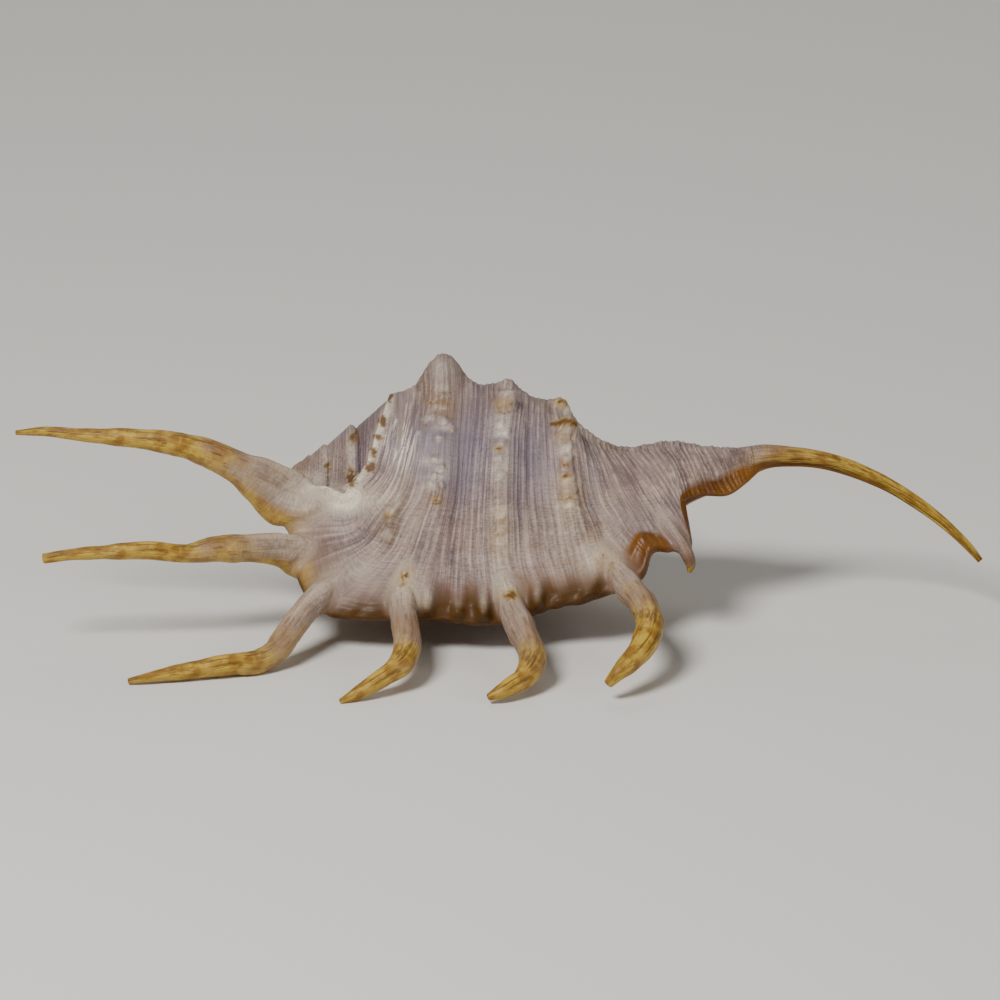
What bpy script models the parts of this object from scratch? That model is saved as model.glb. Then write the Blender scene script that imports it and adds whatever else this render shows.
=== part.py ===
# Orange spider conch shell, grown as one piece: a stepped spire, a knobbed body
# whorl, a flared outer lip with six curved digits and a small lobe, and a long
# siphonal canal. Metres, +Z up. The shell's axis lies along X with the spire at
# -X. The back is up, the outer lip faces -Y, and the aperture opens downwards.

import math
from collections import namedtuple

import bmesh
import bpy
import numpy as np

NODE_NAME = "shell"
MILLIMETRE = 0.001

# Real size and the photograph's scale
OVERALL_LENGTH = 160.0        # tip of the first digit to tip of the canal, mm
OVERALL_PIXELS = 964.0        # the same length in the photograph
PIXEL = OVERALL_LENGTH / OVERALL_PIXELS
PHOTO_CENTRE = 500.0          # middle of the 1000 pixel frame, both ways
VIEW_ELEVATION = math.radians(20.0)
FLOOR_DROP = 16.5             # floor below the view's middle line, mm

# The wall of the shell, mm
WALL_AT_EDGE = 1.9
WALL_AT_SKIRT = 2.5
WALL_AT_SIDE = 2.8

# Samples along each stretch of the skin
RIB_STEPS = 2
ROW_STEPS = 2

# A rib follows one spiral cord. Its crest is a pixel on the top outline, and its
# other points are pixels with a depth in mm, negative towards the lip. The whorl
# centre is (y, z) in mm, and hollow is how far the aperture reaches in.
Rib = namedtuple("Rib", "crest upper side skirt edge centre hollow wall")

RIBS = [
    Rib((389, 394), (379, 432, -4.0), (367, 468, -7.0), (345, 496, -7.5), (304, 480, -6.5),
        (5.0, 19.4), 0.0, 1.9),
    Rib((399, 391), (391, 432, -5.0), (380, 474, -9.0), (352, 506, -9.5), (288, 500, -7.5),
        (5.0, 19.2), 0.1, 1.6),
    Rib((410, 387), (403, 434, -5.5), (390, 480, -10.5), (355, 523, -12.5), (281, 530, -11.0),
        (5.0, 18.9), 0.35, 1.2),
    Rib((421, 385), (417, 434, -6.2), (403, 490, -12.0), (367, 541, -15.5), (300, 573, -18.5),
        (5.0, 18.6), 0.7, 1.0),
    Rib((431, 384), (425, 434, -6.5), (416, 493, -12.7), (386, 549, -17.2), (321, 603, -24.6),
        (5.0, 18.3), 0.9, 1.0),
    Rib((437, 384), (433, 435, -6.8), (427, 494, -13.2), (402, 552, -18.0), (353, 611, -26.3),
        (5.0, 18.1), 1.0, 1.0),
    Rib((445, 384), (442, 435, -7.0), (438, 495, -13.5), (420, 554, -18.5), (394, 612, -26.8),
        (5.0, 17.9), 1.0, 1.0),
    Rib((463, 383), (461, 435, -7.0), (457, 495, -13.5), (447, 555, -18.5), (440, 612, -26.8),
        (5.0, 17.6), 1.0, 1.0),
    Rib((481, 383), (478, 436, -7.0), (473, 495, -13.5), (470, 556, -18.5), (475, 614, -26.8),
        (5.0, 17.5), 1.0, 1.0),
    Rib((505, 387), (502, 438, -7.0), (499, 496, -13.5), (499, 557, -18.5), (509, 614, -26.8),
        (5.0, 17.4), 1.0, 1.0),
    Rib((530, 394), (528, 442, -6.8), (528, 498, -13.0), (534, 555, -18.0), (549, 602, -25.8),
        (5.0, 17.3), 1.0, 1.0),
    Rib((556, 405), (560, 448, -6.5), (566, 500, -12.5), (577, 550, -17.3), (592, 594, -24.8),
        (4.5, 17.3), 1.0, 1.0),
    Rib((573, 416), (581, 454, -6.0), (589, 503, -11.5), (609, 543, -15.7), (637, 575, -21.6),
        (4.0, 17.5), 1.0, 1.0),
    Rib((594, 434), (604, 464, -5.5), (615, 494, -10.0), (632, 523, -14.0), (650, 547, -18.3),
        (3.3, 17.6), 0.95, 1.0),
    Rib((612, 443), (624, 467, -5.0), (638, 493, -9.5), (656, 521, -14.0), (672, 546, -17.8),
        (2.8, 18.0), 0.9, 1.0),
    Rib((629, 446), (642, 469, -4.7), (656, 489, -8.8), (673, 515, -13.0), (690, 545, -17.0),
        (2.3, 18.3), 0.85, 0.95),
    Rib((648, 443), (659, 463, -4.3), (668, 478, -7.5), (676, 494, -10.0), (680, 504, -12.1),
        (1.8, 19.0), 0.8, 0.7),
    Rib((664, 440), (673, 458, -4.0), (680, 471, -6.5), (684, 484, -8.3), (685, 481, -9.4),
        (1.4, 19.8), 0.8, 0.6),
    Rib((683, 441), (690, 459, -3.4), (695, 471, -5.3), (700, 483, -7.0), (705, 480, -8.2),
        (1.0, 20.8), 0.8, 0.5),
    Rib((706, 445), (712, 460, -2.8), (717, 471, -4.3), (721, 482, -5.8), (730, 488, -7.1),
        (0.6, 21.8), 0.8, 0.55),
    Rib((735, 446), (739, 456, -2.0), (741, 464, -3.1), (743, 472, -4.2), (746, 481, -5.4),
        (0.3, 23.2), 0.8, 0.45),
]

# Centre line of the siphonal canal: pixel, half width in pixels, depth in mm
CANAL = [
    (765, 456, 13.0, -1.2), (794, 456, 10.5, -1.5), (820, 459, 9.5, -2.0), (846, 466, 9.0, -2.5),
    (871, 476, 8.2, -3.0), (893, 487, 7.4, -3.5), (912, 499, 7.0, -4.0), (933, 514, 6.3, -5.0),
    (953, 531, 5.5, -6.0), (969, 547, 4.8, -7.0), (980, 560, 3.6, -7.6),
]

# Angles round the whorl, degrees from +Y towards +Z, and distances from its
# centre as a share of the whorl's radius
BACK = [(100.0, 1.0), (70.0, 1.0), (40.0, 1.0), (10.0, 1.0), (-20.0, 1.02), (-46.0, 1.07),
        (-70.0, 1.05), (-100.0, 1.03)]
COLUMELLA = (-133.0, 1.06)
CORE = [(155.0, 0.68), (172.0, 0.60), (195.0, 0.66), (215.0, 0.80)]

# The canal's section: a tube with a narrow slit along its underside
CANAL_OUTER_ANGLES = [232.0, 222.0, 210.0, 197.0, 182.0, 150.0, 100.0, 70.0, 40.0, 10.0,
                      -20.0, -48.0, -70.0, -86.0]
CANAL_INNER = [(232.0, 0.80), (224.0, 0.60), (210.0, 0.52), (194.0, 0.50), (176.0, 0.50),
               (120.0, 0.48), (50.0, 0.48), (-10.0, 0.50), (-60.0, 0.56)]
CANAL_LIP_ANGLE = 238.0
CANAL_COLUMELLA_ANGLE = -97.0

# Knobs on the back: rib position, row position, height and reach in mm
KNOBS = [
    (6.15, 7.75, 5.7, 4.0),
    (9.1, 8.0, 1.6, 2.0), (9.1, 6.85, 1.3, 2.0),
    (11.25, 8.0, 1.8, 1.9), (11.4, 6.5, 1.3, 2.0),
]

# Raised cords that run from the knobs down to digits 4, 5 and 6
RIDGE_RIBS = [6.1, 9.1, 11.4]
RIDGE_HEIGHT = 0.7
RIDGE_WIDTH = 1.9             # mm

# Spire: pixel along the axis and radius in mm, with a step at each whorl
SPIRE_PROFILE = [
    (290, 0.0), (295, 0.8), (302, 1.4), (311, 1.9), (320, 4.0), (334, 5.6), (345, 8.1),
    (355, 8.5), (369, 11.2), (380, 13.4), (388, 14.6), (394, 14.2), (404, 9.0), (406, 0.0),
]
SPIRE_APEX = (290, 468)
SPIRE_DEPTH = 5.0
SPIRE_END = (406, 482)
SPIRE_SIDES = 40

# Digits: pixel, half width in pixels, depth in mm, from the root to the tip
DIGITS = {
    "digit_1": [(322, 508, 9, -9.0), (298, 499, 22, -8.2), (275, 487, 21.5, -8.0), (248, 473, 17.5, -8.5),
                (222, 459, 14.4, -9.0), (200, 450, 13.3, -9.2), (171, 443, 11.6, -9.3), (141, 439, 9.8, -9.0),
                (110, 437, 8.2, -8.5), (80, 435, 6.5, -7.8), (50, 432, 4.9, -7.0), (19, 433, 2.6, -6.0)],
    "digit_2": [(330, 550, 8, -14.5), (308, 549, 19, -16.0), (286, 548, 16, -17.0), (262, 548, 14.5, -18.0),
                (240, 548, 13.3, -19.0), (217, 549, 12.0, -19.8), (190, 553, 9.4, -20.6), (152, 550, 9.0, -21.5),
                (107, 552, 7.0, -22.0), (76, 554, 5.6, -22.2), (49, 558, 5.0, -22.4)],
    "digit_3": [(340, 578, 8, -20.0), (321, 597, 15, -24.5), (304, 614, 14.5, -27.5), (291, 632, 13.5, -30.0),
                (279, 649, 12.2, -32.5), (260, 660, 11.2, -34.5), (235, 662, 10.0, -36.0),
                (207, 666, 8.6, -37.2), (180, 670, 7.4, -38.4), (157, 674, 5.2, -39.4), (135, 678, 2.6, -40.0)],
    "digit_4": [(410, 566, 7, -19.0), (405, 590, 14, -24.0), (404, 612, 15, -29.0), (408, 633, 14.6, -34.6),
                (408, 649, 14, -39.0), (401, 663, 12, -42.5), (387, 673, 10, -44.6), (371, 683, 8.2, -46.2),
                (357, 691, 5.5, -47.4), (344, 697, 2.6, -48.4)],
    "digit_5": [(504, 580, 8, -21.0), (509, 600, 16, -25.6), (516, 619, 18.5, -30.3), (525, 636, 17.5, -34.6),
                (531, 650, 16, -38.5), (531, 664, 13.5, -42.0), (523, 677, 11.5, -44.8), (511, 685, 9.4, -46.6),
                (500, 692, 7, -48.0), (490, 696, 4, -48.8)],
    "digit_6": [(600, 545, 7, -16.0), (613, 567, 14, -20.3), (628, 588, 15, -25.3), (641, 602, 14.6, -30.0),
                (647, 618, 14, -34.0), (647, 633, 13, -38.0), (639, 649, 11.8, -41.8), (627, 663, 10, -44.4),
                (616, 676, 7, -46.4), (607, 684, 4.4, -47.4)],
    "lobe": [(664, 524, 5, -14.5), (677, 540, 9, -16.5), (686, 556, 6.5, -17.8), (691, 572, 3.4, -18.4)],
    "web_1": [(322, 524, 6, -11.0), (300, 522, 15, -10.5), (285, 516, 15, -10.2), (268, 503, 9, -9.2)],
    "web_2": [(330, 572, 6, -17.5), (309, 574, 12, -18.5), (296, 569, 10, -18.5), (281, 561, 6, -17.8)],
}

SHELL_COLOUR = (0.62, 0.50, 0.46, 1.0)
SHELL_ROUGHNESS = 0.45


def clear_scene():
    for old in list(bpy.data.objects):
        bpy.data.objects.remove(old, do_unlink=True)


# A pixel of the photograph at a depth behind or before the axis, in mm
def spot(pixel_x, pixel_y, depth):
    across = (pixel_x - PHOTO_CENTRE) * PIXEL
    up = (PHOTO_CENTRE - pixel_y) * PIXEL + FLOOR_DROP
    height = (up - depth * math.sin(VIEW_ELEVATION)) / math.cos(VIEW_ELEVATION)
    return (across, depth, height)


# Radius that brings the whorl's top outline to its pixel in the photograph
def whorl_radius(rib):
    up = (PHOTO_CENTRE - rib.crest[1]) * PIXEL + FLOOR_DROP
    centre_up = rib.centre[0] * math.sin(VIEW_ELEVATION) + rib.centre[1] * math.cos(VIEW_ELEVATION)
    return up - centre_up


def on_circle(across, centre, radius, angle):
    turn = math.radians(angle)
    return (across, centre[0] + radius * math.cos(turn), centre[1] + radius * math.sin(turn))


def between(first, second, share):
    return tuple(a + (b - a) * share for a, b in zip(first, second))


# Points of the outer skin of one rib, from the lip's edge over the back to the
# columella. Skirt, side and edge points have one more point half way between.
def outer_points(rib):
    edge, skirt, side, upper = (spot(*p) for p in (rib.edge, rib.skirt, rib.side, rib.upper))
    radius = whorl_radius(rib)
    across = (rib.crest[0] - PHOTO_CENTRE) * PIXEL
    back = [on_circle(across, rib.centre, radius * reach, angle) for angle, reach in BACK]
    columella = on_circle(across, rib.centre, radius * COLUMELLA[1], COLUMELLA[0])
    return [edge, between(edge, skirt, 0.45), skirt, between(skirt, side, 0.5), side, upper] + back + [columella]


# Smooth curve through rows of points, worked out for all columns at once
def smooth_through(rows, steps, closed):
    rows = np.asarray(rows, dtype=float)
    if closed:
        padded = np.concatenate([rows[-1:], rows, rows[:2]])
    else:
        padded = np.concatenate([2 * rows[:1] - rows[1:2], rows, 2 * rows[-1:] - rows[-2:-1]])
    gaps = np.sqrt(np.linalg.norm(np.diff(padded, axis=0), axis=-1).mean(axis=1))
    share = (np.arange(steps) / steps)[:, None, None]
    curve = []
    for i in range(1, len(padded) - 2):
        before, here, after = gaps[i - 1], gaps[i], gaps[i + 1]
        slope_a = padded[i] - padded[i - 1]
        slope_b = padded[i + 1] - padded[i]
        slope_c = padded[i + 2] - padded[i + 1]
        start = (slope_a / before * here + slope_b / here * before) / (before + here) * here
        end = (slope_b / here * after + slope_c / after * here) / (here + after) * here
        curve.append(
            padded[i] * (2 * share ** 3 - 3 * share ** 2 + 1)
            + start * (share ** 3 - 2 * share ** 2 + share)
            + padded[i + 1] * (3 * share ** 2 - 2 * share ** 3)
            + end * (share ** 3 - share ** 2))
    if not closed:
        curve.append(rows[-1:])
    return np.concatenate(curve)


# Unit normals of a grid of points, pointing out of the shell
def grid_normals(grid):
    along = np.gradient(grid, axis=0)
    around = np.gradient(grid, axis=1)
    normals = np.cross(along, around)
    return normals / np.linalg.norm(normals, axis=-1, keepdims=True)


# Closed ring of points for each body rib: lip edge, outer skin, columella, core
# of the aperture and the underside of the lip
def body_rings():
    outer = np.array([outer_points(rib) for rib in RIBS])
    normals = grid_normals(outer)
    walls = [WALL_AT_EDGE, WALL_AT_EDGE, WALL_AT_SKIRT, WALL_AT_SIDE, WALL_AT_SIDE]
    rings = []
    for index, rib in enumerate(RIBS):
        wall_scale = rib.wall
        lip = [outer[index, row] - normals[index, row] * walls[row] * wall_scale for row in range(5)]
        radius = whorl_radius(rib)
        across = outer[index, 7, 0]
        columella = outer[index, -1]
        core = [np.array(on_circle(across, rib.centre, radius * reach, angle)) for angle, reach in CORE]
        closed = [np.array(between(lip[4], columella, share)) for share in (0.2, 0.4, 0.6, 0.8)]
        core = [shut + (open_ - shut) * rib.hollow for shut, open_ in zip(closed, core)]
        tip = (outer[index, 0] + lip[0]) / 2 + (outer[index, 0] - outer[index, 1]) * 0.12
        rings.append([tip] + list(outer[index]) + core[::-1] + lip[::-1])
    return rings


# Rings of the canal, set square to its centre line
def canal_rings():
    line = np.array([spot(x, y, depth) for x, y, _, depth in CANAL])
    course = np.gradient(line, axis=0)
    course /= np.linalg.norm(course, axis=1, keepdims=True)
    side = np.array([0.0, 1.0, 0.0])
    rings = []
    for index, (_, _, half_width, _) in enumerate(CANAL):
        forward = course[index]
        level = side - forward * forward.dot(side)
        level /= np.linalg.norm(level)
        rise = np.cross(forward, level)
        radius = half_width * PIXEL

        def point(angle, reach):
            turn = math.radians(angle)
            return line[index] + radius * reach * (math.cos(turn) * level + math.sin(turn) * rise)

        outer = [point(angle, 1.0) for angle in CANAL_OUTER_ANGLES]
        inner = [point(angle, reach) for angle, reach in CANAL_INNER]
        columella = point(CANAL_COLUMELLA_ANGLE, 1.0)
        rings.append([point(CANAL_LIP_ANGLE, 1.0)] + outer + [columella] + inner[::-1])
    return rings


# Bumps and cords on the outer skin, as a height in mm at each grid point
def relief(grid, rib_at, row_at):
    height = np.zeros(grid.shape[:2])
    for rib_place, row_place, tall, reach in KNOBS:
        nearest = np.unravel_index(
            np.argmin((rib_at[:, None] - rib_place) ** 2 + (row_at[None, :] - row_place) ** 2), height.shape)
        away = np.linalg.norm(grid - grid[nearest], axis=-1) / reach
        height += tall * np.exp(-away ** 2)
    along_ridge = np.clip((row_at - 1.5) / 1.5, 0, 1) * np.clip(7.0 - row_at, 0, 1)
    for rib_place in RIDGE_RIBS:
        column = int(rib_place * RIB_STEPS)
        share = rib_place * RIB_STEPS - column
        line = grid[column] * (1 - share) + grid[column + 1] * share
        away = np.linalg.norm(grid - line[None], axis=-1) / RIDGE_WIDTH
        height += RIDGE_HEIGHT * np.exp(-away ** 2) * along_ridge[None, :]
    return height


def new_object(name, points, faces):
    mesh = bpy.data.meshes.new(name)
    mesh.from_pydata([tuple(p * MILLIMETRE for p in point) for point in points], [], faces)
    mesh.update()
    made = bpy.data.objects.new(name, mesh)
    return made


# The body whorl, lip and canal: one closed loft through all the rings
def build_body():
    rings = np.array(body_rings() + canal_rings())
    around = smooth_through(rings.transpose(1, 0, 2), ROW_STEPS, True)
    grid = smooth_through(around.transpose(1, 0, 2), RIB_STEPS, False)
    rib_at = np.arange(len(grid)) / RIB_STEPS
    row_at = np.arange(grid.shape[1]) / ROW_STEPS
    outward = grid_normals(grid)
    grid = grid + outward * relief(grid, rib_at, row_at)[:, :, None]
    grid[:, :, 2] = np.maximum(grid[:, :, 2], 0.0)

    count = grid.shape[1]
    faces = []
    for i in range(len(grid) - 1):
        for j in range(count):
            after = (j + 1) % count
            faces.append((i * count + j, (i + 1) * count + j, (i + 1) * count + after, i * count + after))
    last = (len(grid) - 1) * count
    faces.extend(end_strip(0, count, False))
    faces.extend(end_strip(last, count, True))
    return new_object("body", grid.reshape(-1, 3), faces)


# A strip of faces that joins the outer and inner halves of an end ring
def end_strip(first, count, flip):
    faces = []
    half = count // 2
    for j in range(half):
        near, far = first + j, first + j + 1
        near_back, far_back = first + (count - j) % count, first + count - j - 1
        corners = [near, far, far_back, near_back]
        if flip:
            corners.reverse()
        face = list(dict.fromkeys(corners))
        if len(face) > 2:
            faces.append(face)
    return faces


# The spire: a stepped profile turned about the shell's axis
def build_spire(collection):
    apex = np.array(spot(*SPIRE_APEX, SPIRE_DEPTH))
    end = np.array(spot(*SPIRE_END, SPIRE_DEPTH))
    tilt = math.atan2(end[2] - apex[2], end[0] - apex[0])
    profile = [((x - SPIRE_APEX[0]) * PIXEL, 0.0, radius) for x, radius in SPIRE_PROFILE]
    edges = [(i, i + 1) for i in range(len(profile) - 1)]
    mesh = bpy.data.meshes.new("spire")
    mesh.from_pydata([tuple(p * MILLIMETRE for p in point) for point in profile], edges, [])
    spire = bpy.data.objects.new("spire", mesh)
    collection.objects.link(spire)
    screw = spire.modifiers.new("turn", "SCREW")
    screw.axis = "X"
    screw.steps = SPIRE_SIDES
    screw.render_steps = SPIRE_SIDES
    screw.use_merge_vertices = True
    screw.merge_threshold = 0.00001
    spire.location = tuple(apex * MILLIMETRE)
    spire.rotation_euler = (0.0, -tilt, 0.0)
    return spire


# A digit: a tapering tube along a smooth curve through its points
def build_digit(name, points, collection):
    curve = bpy.data.curves.new(name, "CURVE")
    curve.dimensions = "3D"
    curve.bevel_depth = MILLIMETRE
    curve.bevel_resolution = 2
    curve.use_fill_caps = True
    curve.resolution_u = 2
    spline = curve.splines.new("BEZIER")
    spline.bezier_points.add(len(points) - 1)
    for knot, (x, y, half_width, depth) in zip(spline.bezier_points, points):
        knot.co = [p * MILLIMETRE for p in spot(x, y, depth)]
        knot.radius = half_width * PIXEL
        knot.handle_left_type = "AUTO"
        knot.handle_right_type = "AUTO"
    digit = bpy.data.objects.new(name, curve)
    collection.objects.link(digit)
    return digit


# Bake modifiers or a curve into a plain mesh object in world coordinates
def to_solid(source, collection):
    bpy.context.view_layer.update()
    depsgraph = bpy.context.evaluated_depsgraph_get()
    mesh = bpy.data.meshes.new_from_object(source.evaluated_get(depsgraph))
    mesh.transform(source.matrix_world)
    name = source.name
    bpy.data.objects.remove(source, do_unlink=True)
    form = bmesh.new()
    form.from_mesh(mesh)
    bmesh.ops.remove_doubles(form, verts=form.verts, dist=0.00002)
    bmesh.ops.recalc_face_normals(form, faces=form.faces)
    form.to_mesh(mesh)
    form.free()
    solid = bpy.data.objects.new(name, mesh)
    collection.objects.link(solid)
    return solid


def shell_material():
    material = bpy.data.materials.new("shell_surface")
    material.use_nodes = True
    shader = material.node_tree.nodes["Principled BSDF"]
    shader.inputs["Base Color"].default_value = SHELL_COLOUR
    shader.inputs["Roughness"].default_value = SHELL_ROUGHNESS
    shader.inputs["Metallic"].default_value = 0.0
    return material


# Move the mesh so that its box stands on the floor, centred over the origin
def centre_on_floor(mesh):
    corners = np.empty(len(mesh.vertices) * 3)
    mesh.vertices.foreach_get("co", corners)
    corners = corners.reshape(-1, 3)
    low, high = corners.min(axis=0), corners.max(axis=0)
    corners -= ((low[0] + high[0]) / 2, (low[1] + high[1]) / 2, low[2])
    mesh.vertices.foreach_set("co", corners.ravel())
    mesh.update()


def main():
    clear_scene()
    parts = bpy.data.collections.new("spider_conch")
    cutters = bpy.data.collections.new("spider_conch_joined_forms")
    bpy.context.scene.collection.children.link(parts)
    bpy.context.scene.collection.children.link(cutters)

    body = build_body()
    cutters.objects.link(body)
    body = to_solid(body, cutters)
    forms = [to_solid(build_spire(cutters), cutters)]
    for name, points in DIGITS.items():
        forms.append(to_solid(build_digit(name, points, cutters), cutters))

    for form in forms:
        form.display_type = "WIRE"
        form.hide_render = True
        union = body.modifiers.new("join_" + form.name, "BOOLEAN")
        union.operation = "UNION"
        union.solver = "EXACT"
        union.object = form
    shell = to_solid(body, parts)
    shell.name = NODE_NAME
    shell.data.name = NODE_NAME
    centre_on_floor(shell.data)
    shell.data.materials.clear()
    shell.data.materials.append(shell_material())
    shell.data.shade_smooth()
    shell.data.set_sharp_from_angle(angle=math.radians(50.0))


main()
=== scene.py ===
import math

import bpy
import numpy as np
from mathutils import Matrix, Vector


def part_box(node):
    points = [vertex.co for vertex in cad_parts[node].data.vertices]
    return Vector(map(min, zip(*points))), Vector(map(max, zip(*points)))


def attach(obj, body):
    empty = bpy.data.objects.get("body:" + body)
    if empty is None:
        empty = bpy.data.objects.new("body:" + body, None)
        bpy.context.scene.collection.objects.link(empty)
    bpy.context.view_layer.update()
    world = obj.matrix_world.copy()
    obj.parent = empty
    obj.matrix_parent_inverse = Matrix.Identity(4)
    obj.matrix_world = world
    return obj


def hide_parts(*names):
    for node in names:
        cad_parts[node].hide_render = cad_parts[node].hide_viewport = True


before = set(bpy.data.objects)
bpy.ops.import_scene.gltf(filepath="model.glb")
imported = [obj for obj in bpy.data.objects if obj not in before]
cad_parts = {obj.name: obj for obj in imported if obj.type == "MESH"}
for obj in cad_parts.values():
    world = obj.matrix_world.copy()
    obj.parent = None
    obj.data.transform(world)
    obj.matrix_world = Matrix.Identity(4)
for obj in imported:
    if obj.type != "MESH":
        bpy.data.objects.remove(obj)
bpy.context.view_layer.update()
shellBox = [np.array(corner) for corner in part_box("shell")]
print("frame loaded")

# Shapes are worked out in millimetres in the photograph's own axes and put into
# the frame at the end: x across the picture, y away from the viewer, z up.
photo = {
    "pixel": 160.0 / 964.0,            # mm
    "middle": 500.0,
    "elevation": math.radians(20.0),
    "floorDrop": 16.5,                 # mm from the middle line to the floor
}
millimetre = 0.001

# Each rib follows one spiral cord: crest pixel, then upper, side, skirt and edge
# points (pixel, pixel, depth in mm), whorl centre (y, z), hollow and wall share
ribs = [
    ((389, 394), (379, 432, -4.0), (367, 468, -7.0), (345, 496, -7.5), (305, 480, -6.5),
     (5.0, 19.4), 0.0, 2.2),
    ((399, 391), (391, 432, -5.0), (380, 474, -9.0), (352, 506, -9.5), (294, 502, -7.5),
     (5.0, 19.2), 0.1, 1.8),
    ((410, 387), (403, 434, -5.5), (390, 480, -10.5), (355, 523, -12.5), (291, 532, -11.2),
     (5.0, 18.9), 0.35, 1.2),
    ((421, 385), (417, 434, -6.2), (403, 490, -12.0), (367, 541, -15.5), (300, 573, -18.5),
     (5.0, 18.6), 0.7, 1.0),
    ((431, 384), (425, 434, -6.5), (416, 493, -12.7), (386, 549, -17.2), (321, 607, -24.8),
     (5.0, 18.3), 0.9, 1.0),
    ((437, 384), (433, 435, -6.8), (427, 494, -13.2), (402, 552, -18.0), (353, 615, -26.4),
     (5.0, 18.1), 1.0, 1.0),
    ((445, 384), (442, 435, -7.0), (438, 495, -13.5), (420, 554, -18.5), (394, 616, -26.9),
     (5.0, 17.9), 1.0, 1.0),
    ((463, 383), (461, 435, -7.0), (457, 495, -13.5), (447, 555, -18.5), (440, 617, -27.0),
     (5.0, 17.6), 1.0, 1.0),
    ((481, 383), (478, 436, -7.0), (473, 495, -13.5), (470, 556, -18.5), (475, 621, -27.2),
     (5.0, 17.5), 1.0, 1.0),
    ((505, 387), (502, 438, -7.0), (499, 496, -13.5), (499, 557, -18.5), (509, 620, -27.0),
     (5.0, 17.4), 1.0, 1.0),
    ((530, 394), (528, 442, -6.8), (528, 498, -13.0), (534, 555, -18.0), (549, 606, -25.8),
     (5.0, 17.3), 1.0, 1.0),
    ((556, 405), (560, 448, -6.5), (566, 500, -12.5), (577, 550, -17.3), (592, 597, -24.8),
     (4.5, 17.3), 1.0, 1.0),
    ((573, 416), (581, 454, -6.0), (589, 503, -11.5), (609, 543, -15.7), (637, 575, -21.6),
     (4.0, 17.5), 1.0, 1.0),
    ((594, 434), (604, 464, -5.5), (615, 494, -10.0), (632, 523, -14.0), (650, 547, -18.3),
     (3.3, 17.6), 0.95, 1.0),
    ((612, 443), (624, 467, -5.0), (638, 493, -9.5), (656, 521, -14.0), (672, 546, -17.8),
     (2.8, 18.0), 0.9, 1.0),
    ((629, 446), (642, 469, -4.7), (656, 489, -8.8), (673, 515, -13.0), (690, 545, -17.0),
     (2.3, 18.3), 0.85, 0.95),
    ((648, 443), (659, 463, -4.3), (668, 478, -7.5), (676, 494, -10.0), (680, 504, -12.1),
     (1.8, 19.0), 0.8, 0.7),
    ((664, 440), (673, 458, -4.0), (680, 471, -6.5), (684, 484, -8.3), (688, 497, -9.6),
     (1.4, 19.8), 0.8, 0.6),
    ((683, 441), (690, 459, -3.4), (695, 471, -5.3), (699, 481, -7.0), (704, 494, -8.3),
     (1.0, 20.8), 0.8, 0.5),
    ((706, 445), (712, 460, -2.8), (717, 471, -4.3), (720, 481, -5.8), (727, 493, -7.2),
     (0.6, 21.8), 0.8, 0.55),
    ((735, 446), (739, 456, -2.0), (741, 464, -3.1), (743, 472, -4.2), (746, 481, -5.4),
     (0.3, 23.2), 0.8, 0.45),
]

# Centre line of the siphonal canal: pixel, pixel, half width in pixels, depth in mm
canalLine = [
    (765, 456, 13.0, -1.2), (794, 456, 10.5, -1.5), (820, 459, 9.5, -2.0), (846, 466, 9.0, -2.5),
    (871, 476, 8.2, -3.0), (893, 487, 7.4, -3.5), (912, 499, 7.0, -4.0), (933, 514, 6.3, -5.0),
    (953, 531, 5.5, -6.0), (969, 547, 4.8, -7.0), (980, 560, 3.6, -7.6),
]

body = {
    "wall": (1.9, 1.9, 2.5, 2.8, 2.8),          # mm, from the lip's edge inwards
    "back": [(100.0, 1.0), (70.0, 1.0), (40.0, 1.0), (10.0, 1.0), (-20.0, 1.02), (-46.0, 1.07),
             (-70.0, 1.05), (-100.0, 1.03)],    # angle and reach round the whorl
    "lipShare": 0.55,
    "rollRib": [2.5, 4.0, 11.0, 12.5],          # the margin is rolled under between these ribs
    "roll": [0.0, 1.0, 1.0, 0.0],
    "rollShift": (0.0, 0.9, -0.3),              # mm
    "rollShare": 0.18,
    "tipShare": 0.12,                           # how far the lip's tip stands out past its edge
    "columella": (-133.0, 1.06),
    "lowRibs": [15, 16, 17, 18, 19, 20],
    "lowShare": [1.0, 0.97, 0.90, 0.72, 0.70, 0.84],   # reach below the middle on these ribs
    "lowAngle": 60.0,                           # degrees below the middle for the full share
    "core": [(155.0, 0.68), (172.0, 0.60), (195.0, 0.66), (215.0, 0.80)],
    "shutShares": (0.2, 0.4, 0.6, 0.8),         # the core's places where nothing is hollow
    "samplePixels": 1.25,                       # crest pixels between columns
    "fewestSteps": 12,
    "canalSteps": 6,
    "rowSteps": [3, 9, 9, 10, 14, 24, 20, 12, 9, 7, 6, 6, 5, 5, 5, 3, 3, 3, 3, 3, 5, 5, 4, 4, 3],
}

canal = {
    "outer": [232.0, 222.0, 210.0, 197.0, 182.0, 150.0, 100.0, 70.0, 40.0, 10.0, -20.0, -48.0, -70.0, -86.0],
    "inner": [(232.0, 0.80), (224.0, 0.60), (210.0, 0.52), (194.0, 0.50), (176.0, 0.50),
              (120.0, 0.48), (50.0, 0.48), (-10.0, 0.50), (-60.0, 0.56)],
    "lipAngle": 238.0,
    "columellaAngle": -97.0,
}


def spot(x, y, depth):
    # a pixel of the photograph at a depth in mm, as a point
    across = (x - photo["middle"]) * photo["pixel"]
    up = (photo["middle"] - y) * photo["pixel"] + photo["floorDrop"]
    height = (up - depth * math.sin(photo["elevation"])) / math.cos(photo["elevation"])
    return np.array([across, depth, height])


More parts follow.
